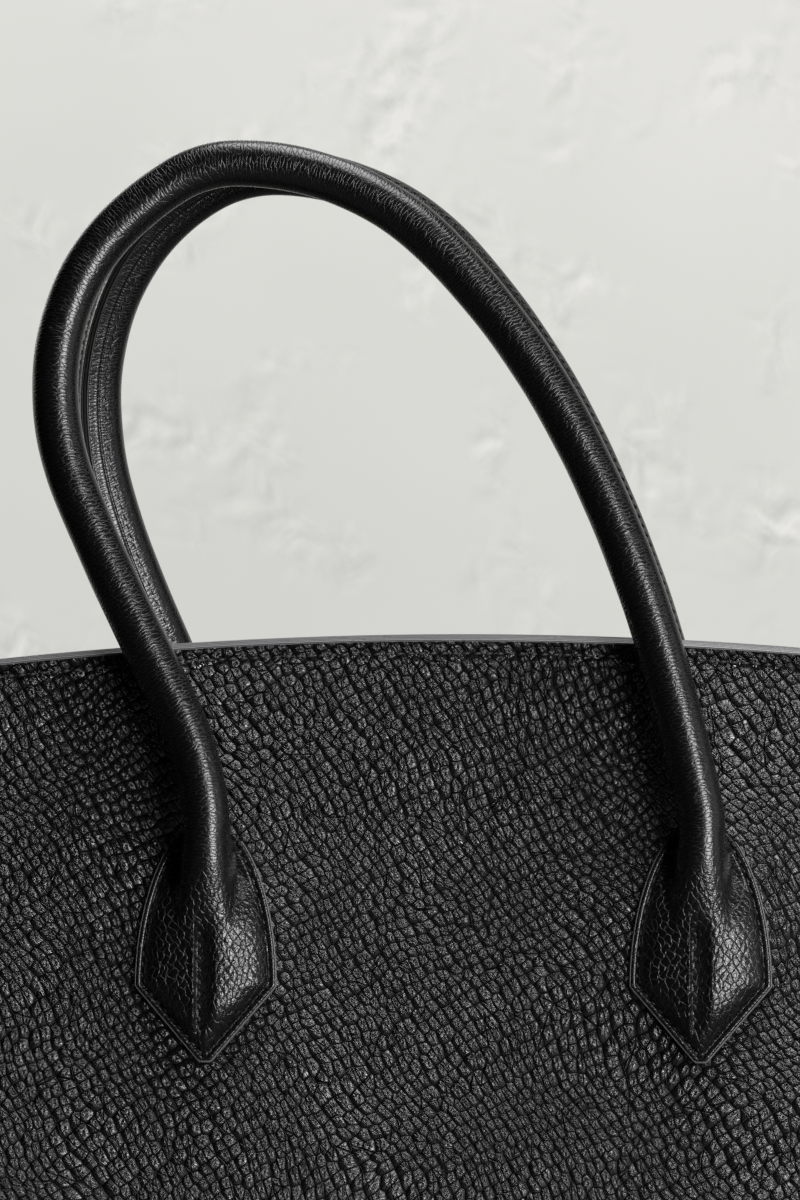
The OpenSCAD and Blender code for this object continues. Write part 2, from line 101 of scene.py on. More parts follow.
class Side(Named):
    """Left and right, by the sign of X."""

    LEFT = -1
    RIGHT = 1


class Slot(Enum):
    """The record's material slots, handed to new pieces but not read."""

    PEBBLED = "pebbled_leather"
    HANDLE = "handle_leather"
    SMOOTH = "smooth_leather"
    LINING = "lining_cloth"


def unit(vectors: Array) -> Array:
    """Vectors scaled to length one along the last axis."""
    return vectors / np.linalg.norm(vectors, axis=-1, keepdims=True)


def ease(values: Array, start: float, end: float) -> Array:
    """The smooth step 3t^2 - 2t^3 of values from start, where it is 0, to end, where it is 1."""
    t = np.clip((np.asarray(values, float) - start) / (end - start), 0, 1)
    return t * t * (3 - 2 * t)


def bell(values: Array, centre: float, width: float) -> Array:
    """exp(-((x - centre) / width)^2): one at the centre and next to nothing two widths away."""
    return np.exp(-(((np.asarray(values, float) - centre) / width) ** 2))


def circle(count: int) -> Array:
    """Even angles round a circle."""
    return np.linspace(0, 2 * np.pi, count, endpoint=False)


def travelled(path: Array) -> Array:
    """Distance travelled along a path at each of its points."""
    steps = np.linalg.norm(np.diff(path, axis=0), axis=1)
    return np.concatenate([[0.0], np.cumsum(steps)])


def respaced(path: Array, step: float, axes: int = 3) -> Array:
    """The same path with points an even distance apart, as near to the step as its length allows.

    Args:
        path: Points in rows, with any number of columns.
        step: Wanted distance between points.
        axes: How many of the first columns are the place.

    Returns:
        The new rows, read off the old ones by distance travelled.
    """
    length = travelled(path[:, :axes])
    places = np.linspace(0, length[-1], max(2, round(length[-1] / step) + 1))
    return np.column_stack([np.interp(places, length, column) for column in path.T])


def spread_places(points: Array) -> Array:
    """Texture places of a grid: distance along its middle row, and down its middle column.

    Args:
        points: Rows by columns by three.

    Returns:
        Rows by columns by two, in metres.
    """
    rows, cols = points.shape[:2]
    along = travelled(points[rows // 2])
    down = travelled(points[:, cols // 2])
    u, v = np.meshgrid(along - along[cols // 2], down[-1] - down)
    return np.stack([u, v], -1) * MM


def cells(grid: Array) -> Array:
    """What a grid holds at the four corners of each of its cells, going round the cell."""
    return np.stack([grid[:-1, :-1], grid[:-1, 1:], grid[1:, 1:], grid[1:, :-1]], 2)


@dataclass
class Skin:
    """A closed surface gathered from rings and grids of points, with a texture place at each face corner."""

    points: list[Array] = field(default_factory=list)
    faces: list[list[int]] = field(default_factory=list)
    places: list[Array] = field(default_factory=list)
    opened: list[Array] = field(default_factory=list)
    count: int = 0

    def _hold(self, points: Array, opened: Array | None = None) -> int:
        """Keeps new points.

        Args:
            points: The points, in any layout.
            opened: A value for each point, for the leather's change of grain.

        Returns:
            The number of the first of them.
        """
        first = self.count
        flat = points.reshape(-1, 3)
        self.points.append(flat)
        self.opened.append(np.zeros(len(flat)) if opened is None else np.ravel(opened))
        self.count += len(flat)
        return first

    def rings(self, points: Array, places: Array, opened: Array | None = None) -> Array:
        """Adds rings of quads, whose last column joins the first.

        Args:
            points: Rows by columns by three.
            places: Texture places, with one more column than the points.
            opened: A value for each point, for the leather's change of grain.

        Returns:
            The numbers of the points, rows by columns.
        """
        rows, cols = points.shape[:2]
        index = self._hold(points, opened) + np.arange(rows * cols).reshape(rows, cols)
        self.faces += cells(np.column_stack([index, index[:, :1]])).reshape(-1, 4).tolist()
        self.places.append(cells(places).reshape(-1, 2))
        return index

    def fan(self, ring: Array, centre: Array, place: Array, opened: float = 0.0) -> None:
        """Closes a ring of points with triangles to its centre, wound the way the ring runs.

        Args:
            ring: The numbers of its points.
            centre: The point in its middle.
            place: The one texture place of all the triangles.
            opened: The centre's value for the leather's change of grain.
        """
        middle = self._hold(centre, np.array([opened]))
        self.faces += np.stack([ring, np.roll(ring, -1), np.full(len(ring), middle)], -1).tolist()
        self.places.append(np.repeat(place.reshape(1, 2), 3 * len(ring), axis=0))

    def tube(self, points: Array, places: Array, opened: Array | None = None) -> "Skin":
        """Adds rings of points as a tube that is closed at both ends.

        Args:
            points: Rings by points by three.
            places: Texture places, with one more to a ring than the points.
            opened: A value for each point, for the leather's change of grain.

        Returns:
            This skin.
        """
        index = self.rings(points, places, opened)
        ends = (0.0, 0.0) if opened is None else (float(opened[0].mean()), float(opened[-1].mean()))
        self.fan(index[0][::-1], points[0].mean(0), places[0, 0], ends[0])
        self.fan(index[-1], points[-1].mean(0), places[-1, 0], ends[1])
        return self

    def slab(self, outer: Array, inner: Array, places: Array) -> "Skin":
        """Adds the closed solid between two grids of the same layout.

        Args:
            outer: Rows by columns by three.
            inner: The other face, likewise.
            places: Texture places, rows by columns by two.

        Returns:
            This skin.
        """
        cols = outer.shape[1]
        loop = np.concatenate([outer, inner[:, ::-1]], axis=1)
        across = np.concatenate([places, places[:, ::-1], places[:, :1]], axis=1)
        index = self.rings(loop, across)
        for row, order in ((0, 1), (-1, -1)):
            near, far = index[row, :cols], index[row, ::-1][:cols]
            edge = places[row]
            strip = np.stack([near[1:], near[:-1], far[:-1], far[1:]], -1)[:, ::order]
            corner = np.stack([edge[1:], edge[:-1], edge[:-1], edge[1:]], 1)[:, ::order]
            self.faces += strip.tolist()
            self.places.append(corner.reshape(-1, 2))
        return self

    def sweep(self, path: Array, across: Array, out: Array, section: Array, closed: bool = False) -> "Skin":
        """Carries a closed section along a path.

        A point of the surface is the path's point plus the section's first number along across and its
        second along out.

        Args:
            path: Points in rows.
            across: A unit vector at each point.
            out: A unit vector at each point.
            section: Points in rows of two, or such rows for each point of the path.
            closed: Whether the path's end joins its start.

        Returns:
            This skin.
        """
        shape = np.broadcast_to(section, (len(path), *section.shape[-2:]))
        points = path[:, None] + shape[..., :1] * across[:, None] + shape[..., 1:] * out[:, None]
        if closed:
            points = np.concatenate([points, points[:1]])
        round_it = travelled(np.concatenate([shape[0], shape[0][:1]])) * MM
        places = np.stack(np.meshgrid(round_it, travelled(points[:, 0]) * MM), -1)
        if not closed:
            return self.tube(points, places)
        index = self.rings(points[:-1], places[:-1])
        first, last = index[0], index[-1]
        self.faces += np.stack([last, np.roll(last, -1), np.roll(first, -1), first], -1).tolist()
        seam = np.stack([places[-2, :-1], places[-2, 1:], places[-1, 1:], places[-1, :-1]], 1)
        self.places.append(seam.reshape(-1, 2))
        return self

    def repeat(self, shape: Array, quads: Array, fans: Array) -> None:
        """Adds many copies of one small closed shape.

        Args:
            shape: Copies by points by three.
            quads: Four point numbers to a row, in one copy.
            fans: Three point numbers to a row, in one copy.
        """
        copies, size = shape.shape[:2]
        first = self._hold(shape) + np.arange(copies)[:, None, None] * size
        for faces in (quads, fans):
            self.faces += (first + faces[None]).reshape(-1, faces.shape[1]).tolist()
            self.places.append(np.zeros((copies * faces.size, 2)))

    def _volume(self, points: Array) -> float:
        """The volume that the faces enclose: the sum of a.(b x c) over their triangles.

        Args:
            points: The skin's points.

        Returns:
            Six times the volume, below zero if the faces point inwards.
        """
        total = 0.0
        for n in (3, 4):
            face = np.array([f for f in self.faces if len(f) == n], int).reshape(-1, n)
            for k in range(1, n - 1):
                turned = np.cross(points[face[:, k]], points[face[:, k + 1]])
                total += float(np.einsum("ij,ij->", points[face[:, 0]], turned))
        return total

    def build(self, name: str, crease_deg: float = 50.0) -> Piece:
        """Makes the piece, in metres, with its faces pointing outwards.

        Args:
            name: The piece's name.
            crease_deg: Edges that bend more than this are shaded as sharp.

        Returns:
            The new object, at the origin.
        """
        points = np.concatenate(self.points) * MM
        places = np.concatenate(self.places)
        faces = self.faces
        if self._volume(points) < 0:
            ends = np.cumsum([len(face) for face in faces])
            order = [np.arange(end - 1, end - len(face) - 1, -1) for face, end in zip(faces, ends)]
            places = places[np.concatenate(order)]
            faces = [face[::-1] for face in faces]
        mesh = bpy.data.meshes.new(name)
        mesh.from_pydata(points.tolist(), [], faces)
        mesh.uv_layers.new(name="UVMap").data.foreach_set("uv", places.astype(np.float32).ravel())
        opened = np.concatenate(self.opened).astype(np.float32)
        if opened.any():
            mesh.attributes.new("opened", "FLOAT", "POINT").data.foreach_set("value", opened)
        mesh.shade_smooth()
        mesh.set_sharp_from_angle(angle=math.radians(crease_deg))
        piece = bpy.data.objects.new(name, mesh)
        bpy.context.collection.objects.link(piece)
        return piece


@dataclass(frozen=True)
class Stitching:
    """Saddle stitches in waxed thread: short domed strands that slant and dive in at both ends."""

    pitch: float = 3.2
    length: float = 2.7
    thick: float = 0.55
    slant: float = 0.16
    rise: float = 0.22
    dive: float = 1.1

    def along(self, skin: Skin, path: Array, out: Array) -> None:
        """Adds stitches along a path.

        Each is a row of rings: the radius is thick/2 * sqrt(1 - t^2) and the centre line lies at
        rise - dive * thick * t^2 above the leather, for t from -1 to 1 along the stitch.

        Args:
            skin: What the stitches are added to.
            path: Points along the leather's surface.
            out: The direction out of the surface, for each point or for all of them.
        """
        rows = np.column_stack([path, np.broadcast_to(out, path.shape)])
        even = respaced(rows, self.pitch)
        tangent = unit(np.gradient(even[:, :3], axis=0))
        outward = unit(even[:, 3:])
        heading = unit(tangent + self.slant * unit(np.cross(outward, tangent)))
        aside = unit(np.cross(outward, heading))
        t = np.array([-0.88, -0.45, 0.0, 0.45, 0.88])
        angles = circle(6)
        radius = self.thick / 2 * np.sqrt(1 - t * t)
        rise = self.rise - self.dive * self.thick * t * t
        local = np.stack(np.broadcast_arrays(
            (t * self.length / 2)[:, None],
            radius[:, None] * np.cos(angles),
            rise[:, None] + radius[:, None] * np.sin(angles),
        ), -1).reshape(-1, 3)
        tips = [[end * self.length / 2, 0, self.rise - self.dive * self.thick] for end in (-1, 1)]
        local = np.concatenate([local, tips])
        shape = (even[:, None, :3] + local[None, :, :1] * heading[:, None]
                 + local[None, :, 1:2] * aside[:, None] + local[None, :, 2:] * outward[:, None])
        ring = np.arange(len(t) * len(angles)).reshape(len(t), len(angles))
        around = np.roll(ring, -1, axis=1)
        quads = np.stack([ring[:-1], around[:-1], around[1:], ring[1:]], -1).reshape(-1, 4)
        fans = np.concatenate([
            np.stack([around[0], ring[0], np.full(len(angles), ring.size)], -1),
            np.stack([ring[-1], around[-1], np.full(len(angles), ring.size + 1)], -1),
        ])
        skin.repeat(shape, quads, fans)


def srgb(text: str) -> tuple[float, float, float, float]:
    """A hex colour as a shader takes it.

    Args:
        text: The sRGB colour, such as "#102030".

    Returns:
        Linear red, green, blue and alpha.
    """
    shares = [int(text[i:i + 2], 16) / 255 for i in (1, 3, 5)]
    linear = [s / 12.92 if s <= 0.04045 else ((s + 0.055) / 1.055) ** 2.4 for s in shares]
    return (linear[0], linear[1], linear[2], 1.0)


def band_scale(period: float) -> float:
    """The scale at which a wave texture's bands come a period apart, in millimetres."""
    return 2 * math.pi / 20 / (period * MM)


def add_node(tree: Tree, kind: str, links: dict | tuple = (), out: int | str | None = 0,
             **settings: object) -> Socket | None:
    """Adds a node with its settings and links.

    Args:
        tree: The node tree.
        kind: The node's type, after "ShaderNode".
        links: The socket that feeds each input, or the value it holds, by the inputs' names or in order.
        out: The output to return, or None for a node that has none.
        **settings: The node's own properties.

    Returns:
        One output of the new node.
    """
    node = tree.nodes.new("ShaderNode" + kind)
    for key, value in settings.items():
        setattr(node, key, value)
    for key, value in links.items() if isinstance(links, dict) else enumerate(links):
        if isinstance(value, Socket):
            tree.links.new(value, node.inputs[key])
        else:
            node.inputs[key].default_value = value
    return None if out is None else node.outputs[out]


class Finish:
    """A finish, whose material is made the first time that it is asked for."""

    made: dict[str, bpy.types.Material] = {}
    name: str

    def material(self) -> bpy.types.Material:
        """Makes the finish's material, or finds it.

        Returns:
            The material.
        """
        if self.name not in Finish.made:
            material = bpy.data.materials.new(self.name)
            material.use_nodes = True
            tree = material.node_tree
            tree.nodes.clear()
            add_node(tree, "OutputMaterial", {"Surface": self.shade(tree)}, out=None)
            Finish.made[self.name] = material
        return Finish.made[self.name]

    def shade(self, tree: Tree) -> Socket:
        """Adds the finish's nodes and returns its shader."""
        raise NotImplementedError


def surface_shader(tree: Tree, share: Socket, colours: tuple[str, str], roughness: Socket | float,
                   layers: list[tuple[Socket, float]], **values: object) -> Socket:
    """A Principled shader over a bump.

    Args:
        tree: The node tree.
        share: How far the base colour is on its way from the first colour to the second.
        colours: The two colours, in hex.
        roughness: The roughness.
        layers: What the surface's height is the sum of: values, and what each is worth in millimetres.
        **values: Other inputs, with underscores for spaces.

    Returns:
        The shader.
    """
    height = 0.0
    for value, worth in layers:
        height = add_node(tree, "Math", (value, worth * MM, height), operation="MULTIPLY_ADD")
    colour = add_node(tree, "Mix", {0: share, 6: srgb(colours[0]), 7: srgb(colours[1])}, **TINTS)
    normal = add_node(tree, "Bump", {"Height": height, "Distance": 1.0, "Strength": 1.0})
    links = {"Base Color": colour, "Roughness": roughness, "Normal": normal}
    links.update({key.replace("_", " "): value for key, value in values.items()})
    return add_node(tree, "BsdfPrincipled", links)


@dataclass(frozen=True)
class ShrunkenCalf(Finish):
    """Calfskin shrunk in the drum: full round pebbles in slanting rows, finely wrinkled, with deep creases.

    Aniline dye leaves it a deep black, with a wax shine on the pebbles. The creases are painted shade:
    near black, with their reflection tinted down, since a bump casts no shadow into them.
    """

    name: str = "shrunken_calf_leather"
    tops: str = "#0b0b0d"
    # Painted shade: the creases' near black colour stands in for the shadow in them.
    creases: str = "#020202"
    row_width: float = 2.75
    row_step: float = 3.5
    row_deg: float = 32.0
    dome: float = 2.2
    crease_depth: float = 0.14
    wrinkle: float = 0.6
    pore: float = 0.13

    def shade(self, tree: Tree) -> Socket:
        """Domes over the cells of a Voronoi texture on a slanting lattice, between long and short creases.

        A dome falls as the square of the distance to its cell's centre. Wrinkles run out from that
        centre: a noise is read on a circle, at the direction from the centre, so it stays the same along
        each ray. A second Voronoi texture with cells six pebbles long joins creases into lines down the
        rows.

        Args:
            tree: The node tree.

        Returns:
            The shader.
        """
        moved = add_node(tree, "UVMap", uv_map="UVMap")
        for period, reach in ((60.0, 16.0), (9.0, 1.6)):
            moved = self.swayed(tree, moved, period, reach)
        lattice = self.slanted(tree, moved, self.row_width, self.row_step)
        cell = {"Vector": lattice, "Scale": 1.0, "Randomness": 0.5}
        centre = add_node(tree, "TexVoronoi", cell, out=2, feature="F1", voronoi_dimensions="2D")
        border = add_node(tree, "TexVoronoi", cell, **EDGES)
        away = add_node(tree, "VectorMath", (lattice, centre), operation="SUBTRACT")
        ray = add_node(tree, "VectorMath", (away,), operation="NORMALIZE")
        far = add_node(tree, "VectorMath", (away,), out=1, operation="LENGTH")
        seed = add_node(tree, "VectorMath", (centre.node.outputs[1], (19.0,) * 3, ray),
                        operation="MULTIPLY_ADD")
        streak = add_node(tree, "TexNoise", {"Vector": seed, "Scale": 3.6, "Detail": 1.0, "Roughness": 0.6},
                          **FLAT)
        rows = self.slanted(tree, moved, 1.6 * self.row_width, 6 * self.row_step)
        long_border = add_node(tree, "TexVoronoi", {"Vector": rows, "Scale": 1.0, "Randomness": 0.9}, **EDGES)
        pores = add_node(tree, "TexNoise", {
            "Vector": moved, "Scale": 1 / (1.1 * MM), "Detail": 1.0, "Roughness": 0.75,
        }, **FLAT)
        dome = add_node(tree, "Math", (far, far), operation="MULTIPLY")
        crease = add_node(tree, "MapRange", (border, 0.0, 0.07), **STEP)
        furrow = add_node(tree, "MapRange", (long_border, 0.0, 0.03), **STEP)
        shoulder = add_node(tree, "MapRange", (border, 0.0, 0.085), **STEP)
        top = add_node(tree, "Math", (shoulder, furrow), operation="MULTIPLY")
        rim = add_node(tree, "MapRange", (far, 0.0, 0.3), **STEP)
        ripple = add_node(tree, "Math", (streak, rim), operation="MULTIPLY")
        ripple = add_node(tree, "Math", (ripple, top), operation="MULTIPLY")
        layers = [
            (dome, -self.dome), (crease, 0.55 * self.crease_depth), (furrow, self.crease_depth),
            (ripple, self.wrinkle), (pores, self.pore),
        ]
        # Painted shade: the reflection is tinted down in the creases.
        crease_shaded_reflection_tint = add_node(tree, "Mix", {0: top, 6: srgb("#303030"), 7: srgb("#ffffff")}, **TINTS)
        shine = add_node(tree, "MapRange", (top, 0.1, 0.9, 0.5, 0.27), **STEP)
        return surface_shader(tree, top, (self.creases, self.tops), shine, layers, Specular_Tint=crease_shaded_reflection_tint,
                              IOR=1.85)

    def swayed(self, tree: Tree, moved: Socket, period: float, reach: float) -> Socket:
        """Moves texture places by a noise.

        Args:
            tree: The node tree.
            moved: The places.
            period: The noise's period in millimetres.
            reach: How far it moves them in millimetres.

        Returns:
            The new places.
        """
        flat = add_node(tree, "UVMap", uv_map="UVMap")
        noise = add_node(tree, "TexNoise", {"Vector": flat, "Scale": 1 / (period * MM), "Detail": 1.0}, out=1,
                         **FLAT)
        return add_node(tree, "VectorMath", (noise, (reach * MM,) * 3, moved), operation="MULTIPLY_ADD")

    def slanted(self, tree: Tree, moved: Socket, wide: float, tall: float) -> Socket:
        """Places on a lattice whose rows lean from upper left to lower right.

        Args:
            tree: The node tree.
            moved: The texture places.
            wide: Width of a cell in millimetres.
            tall: Height of a cell in millimetres.

        Returns:
            The places, one cell to a unit.
        """
        turned = add_node(tree, "Mapping", {"Vector": moved, "Rotation": (0, 0, -math.radians(self.row_deg))})
        return add_node(tree, "VectorMath", (turned, (1 / (wide * MM), 1 / (tall * MM), 0)),
                        operation="MULTIPLY")


@dataclass(frozen=True)
class RolledCalf(Finish):
    """The same calf, stretched round a cord: its grain is pulled flat into fine wrinkles across the roll.

    Where the roll opens into a padded tab, the wrinkles spread into a net of diagonal cracks.
    """

    name: str = "rolled_calf_leather"
    tops: str = "#0a0a0b"
    # Painted shade: the cracks' near black colour stands in for the shadow in them.
    creases: str = "#020202"
    across: float = 3.8
    along: float = 0.95
    net: float = 2.2
    depth: float = 0.11

    def shade(self, tree: Tree) -> Socket:
        """A net of long cells across the roll and one of diamonds, mixed by how far the roll has opened.

        Args:
            tree: The node tree.

        Returns:
            The shader.
        """
        flat = add_node(tree, "UVMap", uv_map="UVMap")
        opened = add_node(tree, "Attribute", out=2, attribute_name="opened")
        wander = add_node(tree, "TexNoise", {"Vector": flat, "Scale": 1 / (6 * MM), "Detail": 2.0},
                          out=1, **FLAT)
        moved = add_node(tree, "VectorMath", (wander, (1.6 * MM,) * 3, flat), operation="MULTIPLY_ADD")
        rolled = self.lattice(tree, moved, (self.across, self.along), 1.0, 9.0)
        spread = self.lattice(tree, moved, (self.net * 0.9, self.net * 1.25), 0.65, 42.0)
        small = self.lattice(tree, moved, (self.net * 0.6, self.net * 0.45), 1.0, 20.0)
        grit = add_node(tree, "TexNoise", {"Vector": flat, "Scale": 1 / (0.4 * MM), "Detail": 3.0}, **FLAT)
        patch = add_node(tree, "TexNoise", {"Vector": flat, "Scale": 1 / (7 * MM), "Detail": 1.0}, **FLAT)
        crack, pillow = (
            add_node(tree, "Mix", {
                0: opened,
                2: add_node(tree, "MapRange", (rolled, 0.0, width), **STEP),
                3: add_node(tree, "MapRange", (spread, 0.0, width), **STEP),
            }, data_type="FLOAT")
            for width in (0.1, 0.5)
        )
        strength = add_node(tree, "MapRange", (patch, 0.25, 0.7, 0.8, 1.3), **STEP)
        cracks = add_node(tree, "Math", (crack, strength), operation="MULTIPLY")
        fine = add_node(tree, "MapRange", (small, 0.0, 0.22), **STEP)
        relief = add_node(tree, "MapRange", (opened, 0.0, 1.0, 0.3, 1.0), **STEP)
        heights = ((cracks, self.depth), (pillow, 0.8 * self.depth), (fine, 0.04), (grit, 0.018))
        layers = [(add_node(tree, "Math", (value, relief), operation="MULTIPLY"), worth)
                  for value, worth in heights]
        shine = add_node(tree, "MapRange", (crack, 0.0, 1.0, 0.5, 0.24), **STEP)
        # The colour darkens into the cracks: painted shade.
        return surface_shader(tree, crack, (self.creases, self.tops), shine, layers)

    def lattice(self, tree: Tree, vector: Socket, cell: tuple[float, float], scatter: float,
                turn_deg: float) -> Socket:
        """Distance to the edges of the cells of a turned lattice.

        Args:
            tree: The node tree.
            vector: The texture places.
            cell: Width and height of a cell in millimetres.
            scatter: How far the cells' centres stray, from 0 to 1.
            turn_deg: The lattice's angle.

        Returns:
            The distance, in cells.
        """
        drawn = add_node(tree, "VectorMath", (vector, (1 / (cell[0] * MM), 1 / (cell[1] * MM), 0)),
                         operation="MULTIPLY")
        turned = add_node(tree, "Mapping", {"Vector": drawn, "Rotation": (0, 0, math.radians(turn_deg))})
        return add_node(tree, "TexVoronoi", {"Vector": turned, "Scale": 1.0, "Randomness": scatter}, **EDGES)


@dataclass(frozen=True)
class EdgePaint(Finish):
    """Edge paint, laid on in coats and creased hot, with hairlines along the plies. Its mid grey is partly
    the paint's own and partly a painted reflection of the pale room and the top light on the rim's domed
    edge.
    """

    name: str = "edge_paint"
    # Mid grey: partly a painted reflection of the pale room and the top light on the rim's edge.
    colour: str = "#6c6c6e"
    line: str = "#2a2a2b"
    ply: float = 0.55

    def shade(self, tree: Tree) -> Socket:
        """Hairlines a ply apart round the section, with a slight waver along the edge.

        Args:
            tree: The node tree.

        Returns:
            The shader.
        """
        flat = add_node(tree, "UVMap", uv_map="UVMap")
        drawn = add_node(tree, "VectorMath", (flat, (1.0, 0.02, 0.0)), operation="MULTIPLY")
        wave = add_node(tree, "TexWave", {
            "Vector": drawn, "Scale": band_scale(self.ply), "Distortion": 2.0, "Detail": 2.0,
            "Detail Scale": 0.6,
        }, out=1, wave_type="BANDS", bands_direction="X")
        grain = add_node(tree, "TexNoise", {"Vector": flat, "Scale": 1 / (0.5 * MM), "Detail": 2.0}, **FLAT)
        line = add_node(tree, "MapRange", (wave, 0.05, 0.4), **STEP)
        shine = add_node(tree, "MapRange", (grain, 0.3, 0.7, 0.34, 0.46), **STEP)
        return surface_shader(tree, line, (self.line, self.colour), shine, [(line, 0.05), (grain, 0.01)])


@dataclass(frozen=True)
class WaxedThread(Finish):
    """Waxed linen thread: black, twisted from three strands, with a dull shine."""

    name: str = "waxed_thread"
    colour: str = "#303032"
    shade_side: str = "#111112"
    strand: float = 0.3

    def shade(self, tree: Tree) -> Socket:
        """Slanting bands for the twist.

        Args:
            tree: The node tree.

        Returns:
            The shader.
        """
        place = add_node(tree, "TexCoord", out="Object")
        twist = add_node(tree, "TexWave", {
            "Vector": place, "Scale": band_scale(self.strand), "Distortion": 1.0,
        }, out=1, wave_type="BANDS", bands_direction="DIAGONAL")
        return surface_shader(tree, twist, (self.shade_side, self.colour), 0.5, [(twist, 0.04)])


@dataclass(frozen=True)
class SmoothCalf(Finish):
    """Smooth box calf, pressed flat under a hot plate: fine hair pores and a few faint rub marks."""

    name: str = "smooth_calf_leather"
    colour: str = "#242327"
    worn: str = "#2d2c30"

    def shade(self, tree: Tree) -> Socket:
        """Pores from a small Voronoi texture, and a slow change of tone from handling.

        Args:
            tree: The node tree.

        Returns:
            The shader.
        """
        flat = add_node(tree, "UVMap", uv_map="UVMap")
        pores = add_node(tree, "TexVoronoi", {"Vector": flat, "Scale": 1 / (0.9 * MM), "Randomness": 1.0},
                         feature="F1", voronoi_dimensions="2D")
        pits = add_node(tree, "MapRange", (pores, 0.05, 0.45), **STEP)
        rub = add_node(tree, "TexNoise", {"Vector": flat, "Scale": 1 / (18 * MM), "Detail": 3.0}, **FLAT)
        wear = add_node(tree, "MapRange", (rub, 0.3, 0.75), **STEP)
        shine = add_node(tree, "MapRange", (rub, 0.3, 0.7, 0.38, 0.5), **STEP)
        return surface_shader(tree, wear, (self.colour, self.worn), shine, [(pits, 0.025), (rub, 0.12)])


@dataclass(frozen=True)
class LiningTwill(Finish):
    """Cotton twill lining: a tight slanting rib in two close browns, quite without shine."""

    name: str = "lining_twill"
    warp: str = "#6a5748"
    weft: str = "#3f332b"
    rib: float = 1.0

    def shade(self, tree: Tree) -> Socket:
        """Diagonal ribs, crossed by threads a third as wide. The rib is drawn coarse enough to show.

        Args:
            tree: The node tree.

        Returns:
            The shader.
        """
        flat = add_node(tree, "UVMap", uv_map="UVMap")
        turned = add_node(tree, "Mapping", {"Vector": flat, "Rotation": (0, 0, math.radians(27))})
        rib, thread = (
            add_node(tree, "TexWave", {"Vector": place, "Scale": band_scale(period), "Distortion": bend},
                     out=1, wave_type="BANDS", bands_direction=axis)
            for place, period, bend, axis in ((turned, self.rib, 0.4, "X"), (flat, self.rib / 3, 0.6, "Y"))
        )
        slub = add_node(tree, "TexNoise", {"Vector": flat, "Scale": 1 / (6 * MM), "Detail": 3.0}, **FLAT)
        fullness = add_node(tree, "MapRange", (slub, 0.2, 0.8, 0.7, 1.0), **STEP)
        share = add_node(tree, "Math", (rib, fullness), operation="MULTIPLY")
        layers = [(rib, 0.09), (thread, 0.04)]
        return surface_shader(tree, share, (self.weft, self.warp), 0.85, layers, Sheen_Weight=0.15)


@dataclass(frozen=True)
class PlatedBrass(Finish):
    """Turned brass with a pale gold plate, polished on a buff that leaves fine rings and hairlines."""

    name: str = "plated_brass"
    colour: str = "#cdb98a"
    dulled: str = "#a08a5c"

    def shade(self, tree: Tree) -> Socket:
        """Fine scratches in the plate, and a slow dulling where it is handled.

        Args:
            tree: The node tree.

        Returns:
            The shader.
        """
        place = add_node(tree, "TexCoord", out="Object")
        scratch = add_node(tree, "TexNoise", {"Vector": place, "Scale": 1 / (0.4 * MM), "Detail": 4.0})
        dull = add_node(tree, "TexNoise", {"Vector": place, "Scale": 1 / (6 * MM), "Detail": 2.0})
        wear = add_node(tree, "MapRange", (dull, 0.4, 0.75), **STEP)
        shine = add_node(tree, "MapRange", (dull, 0.3, 0.8, 0.16, 0.34), **STEP)
        return surface_shader(tree, wear, (self.colour, self.dulled), shine, [(scratch, 0.006)], Metallic=1.0)


@dataclass(frozen=True)
class PressedBoard(Finish):
    """Pressed leather fibre: a dull brown-grey board with short fibres in its face."""

    name: str = "pressed_fibre_board"
    colour: str = "#8b8273"
    fibre: str = "#6d6457"

    def shade(self, tree: Tree) -> Socket:
        """Streaks of fibre.

        Args:
            tree: The node tree.

        Returns:
            The shader.
        """
        place = add_node(tree, "TexCoord", out="Object")
        streak = add_node(tree, "TexNoise", {
            "Vector": place, "Scale": 1 / (2 * MM), "Detail": 5.0, "Distortion": 1.5,
        })
        share = add_node(tree, "MapRange", (streak, 0.35, 0.65), **STEP)
        return surface_shader(tree, share, (self.fibre, self.colour), 0.8, [(streak, 0.08)])


@dataclass(frozen=True)
class StudioPaint(Finish):
    """Matt mid-grey paint on the studio floor, rolled on, so that it is faintly uneven."""

    name: str = "studio_floor_paint"
    colour: str = "#4a4a48"
    thin: str = "#424240"

    def shade(self, tree: Tree) -> Socket:
        """Faint unevenness, far softer than the bag's grain.

        Args:
            tree: The node tree.

        Returns:
            The shader.
        """
        place = add_node(tree, "TexCoord", out="Object")
        roller = add_node(tree, "TexNoise", {"Vector": place, "Scale": 1 / (25 * MM), "Detail": 3.0})
        tone = add_node(tree, "MapRange", (roller, 0.2, 0.8), **STEP)
        return surface_shader(tree, tone, (self.thin, self.colour), 0.7, [(roller, 0.2)])


PEBBLED = ShrunkenCalf()
ROLLED = RolledCalf()
PAINT = EdgePaint()
DARK_PAINT = EdgePaint("black_edge_paint", "#0d0d0e", "#030303", 0.8)
THREAD = WaxedThread()
SMOOTH = SmoothCalf()
TWILL = LiningTwill()
BRASS = PlatedBrass()
BOARD = PressedBoard()


def made(skin: Skin, name: str, finish: Finish, slot: Slot | None = None, crease_deg: float = 50.0) -> Piece:
    """Makes a piece in its finish.

    Args:
        skin: The piece's surface.
        name: Its name.
        finish: Its finish.
        slot: Not used.
        crease_deg: Edges that bend more than this are shaded as sharp.

    Returns:
        The new object.
    """
    piece = skin.build(name, crease_deg)
    piece.data.materials.append(finish.material())
    return piece


def settle(piece: Piece, *nodes: str) -> None:
    """Makes a finished piece ride on the bag, and reports it.

    Args:
        piece: The piece.
        *nodes: The CAD nodes that it replaces.
    """
    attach(piece, "bag")
    if nodes:
        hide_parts(*nodes)
    LOG.info("%s: %d faces on the bag", piece.name, len(piece.data.polygons))


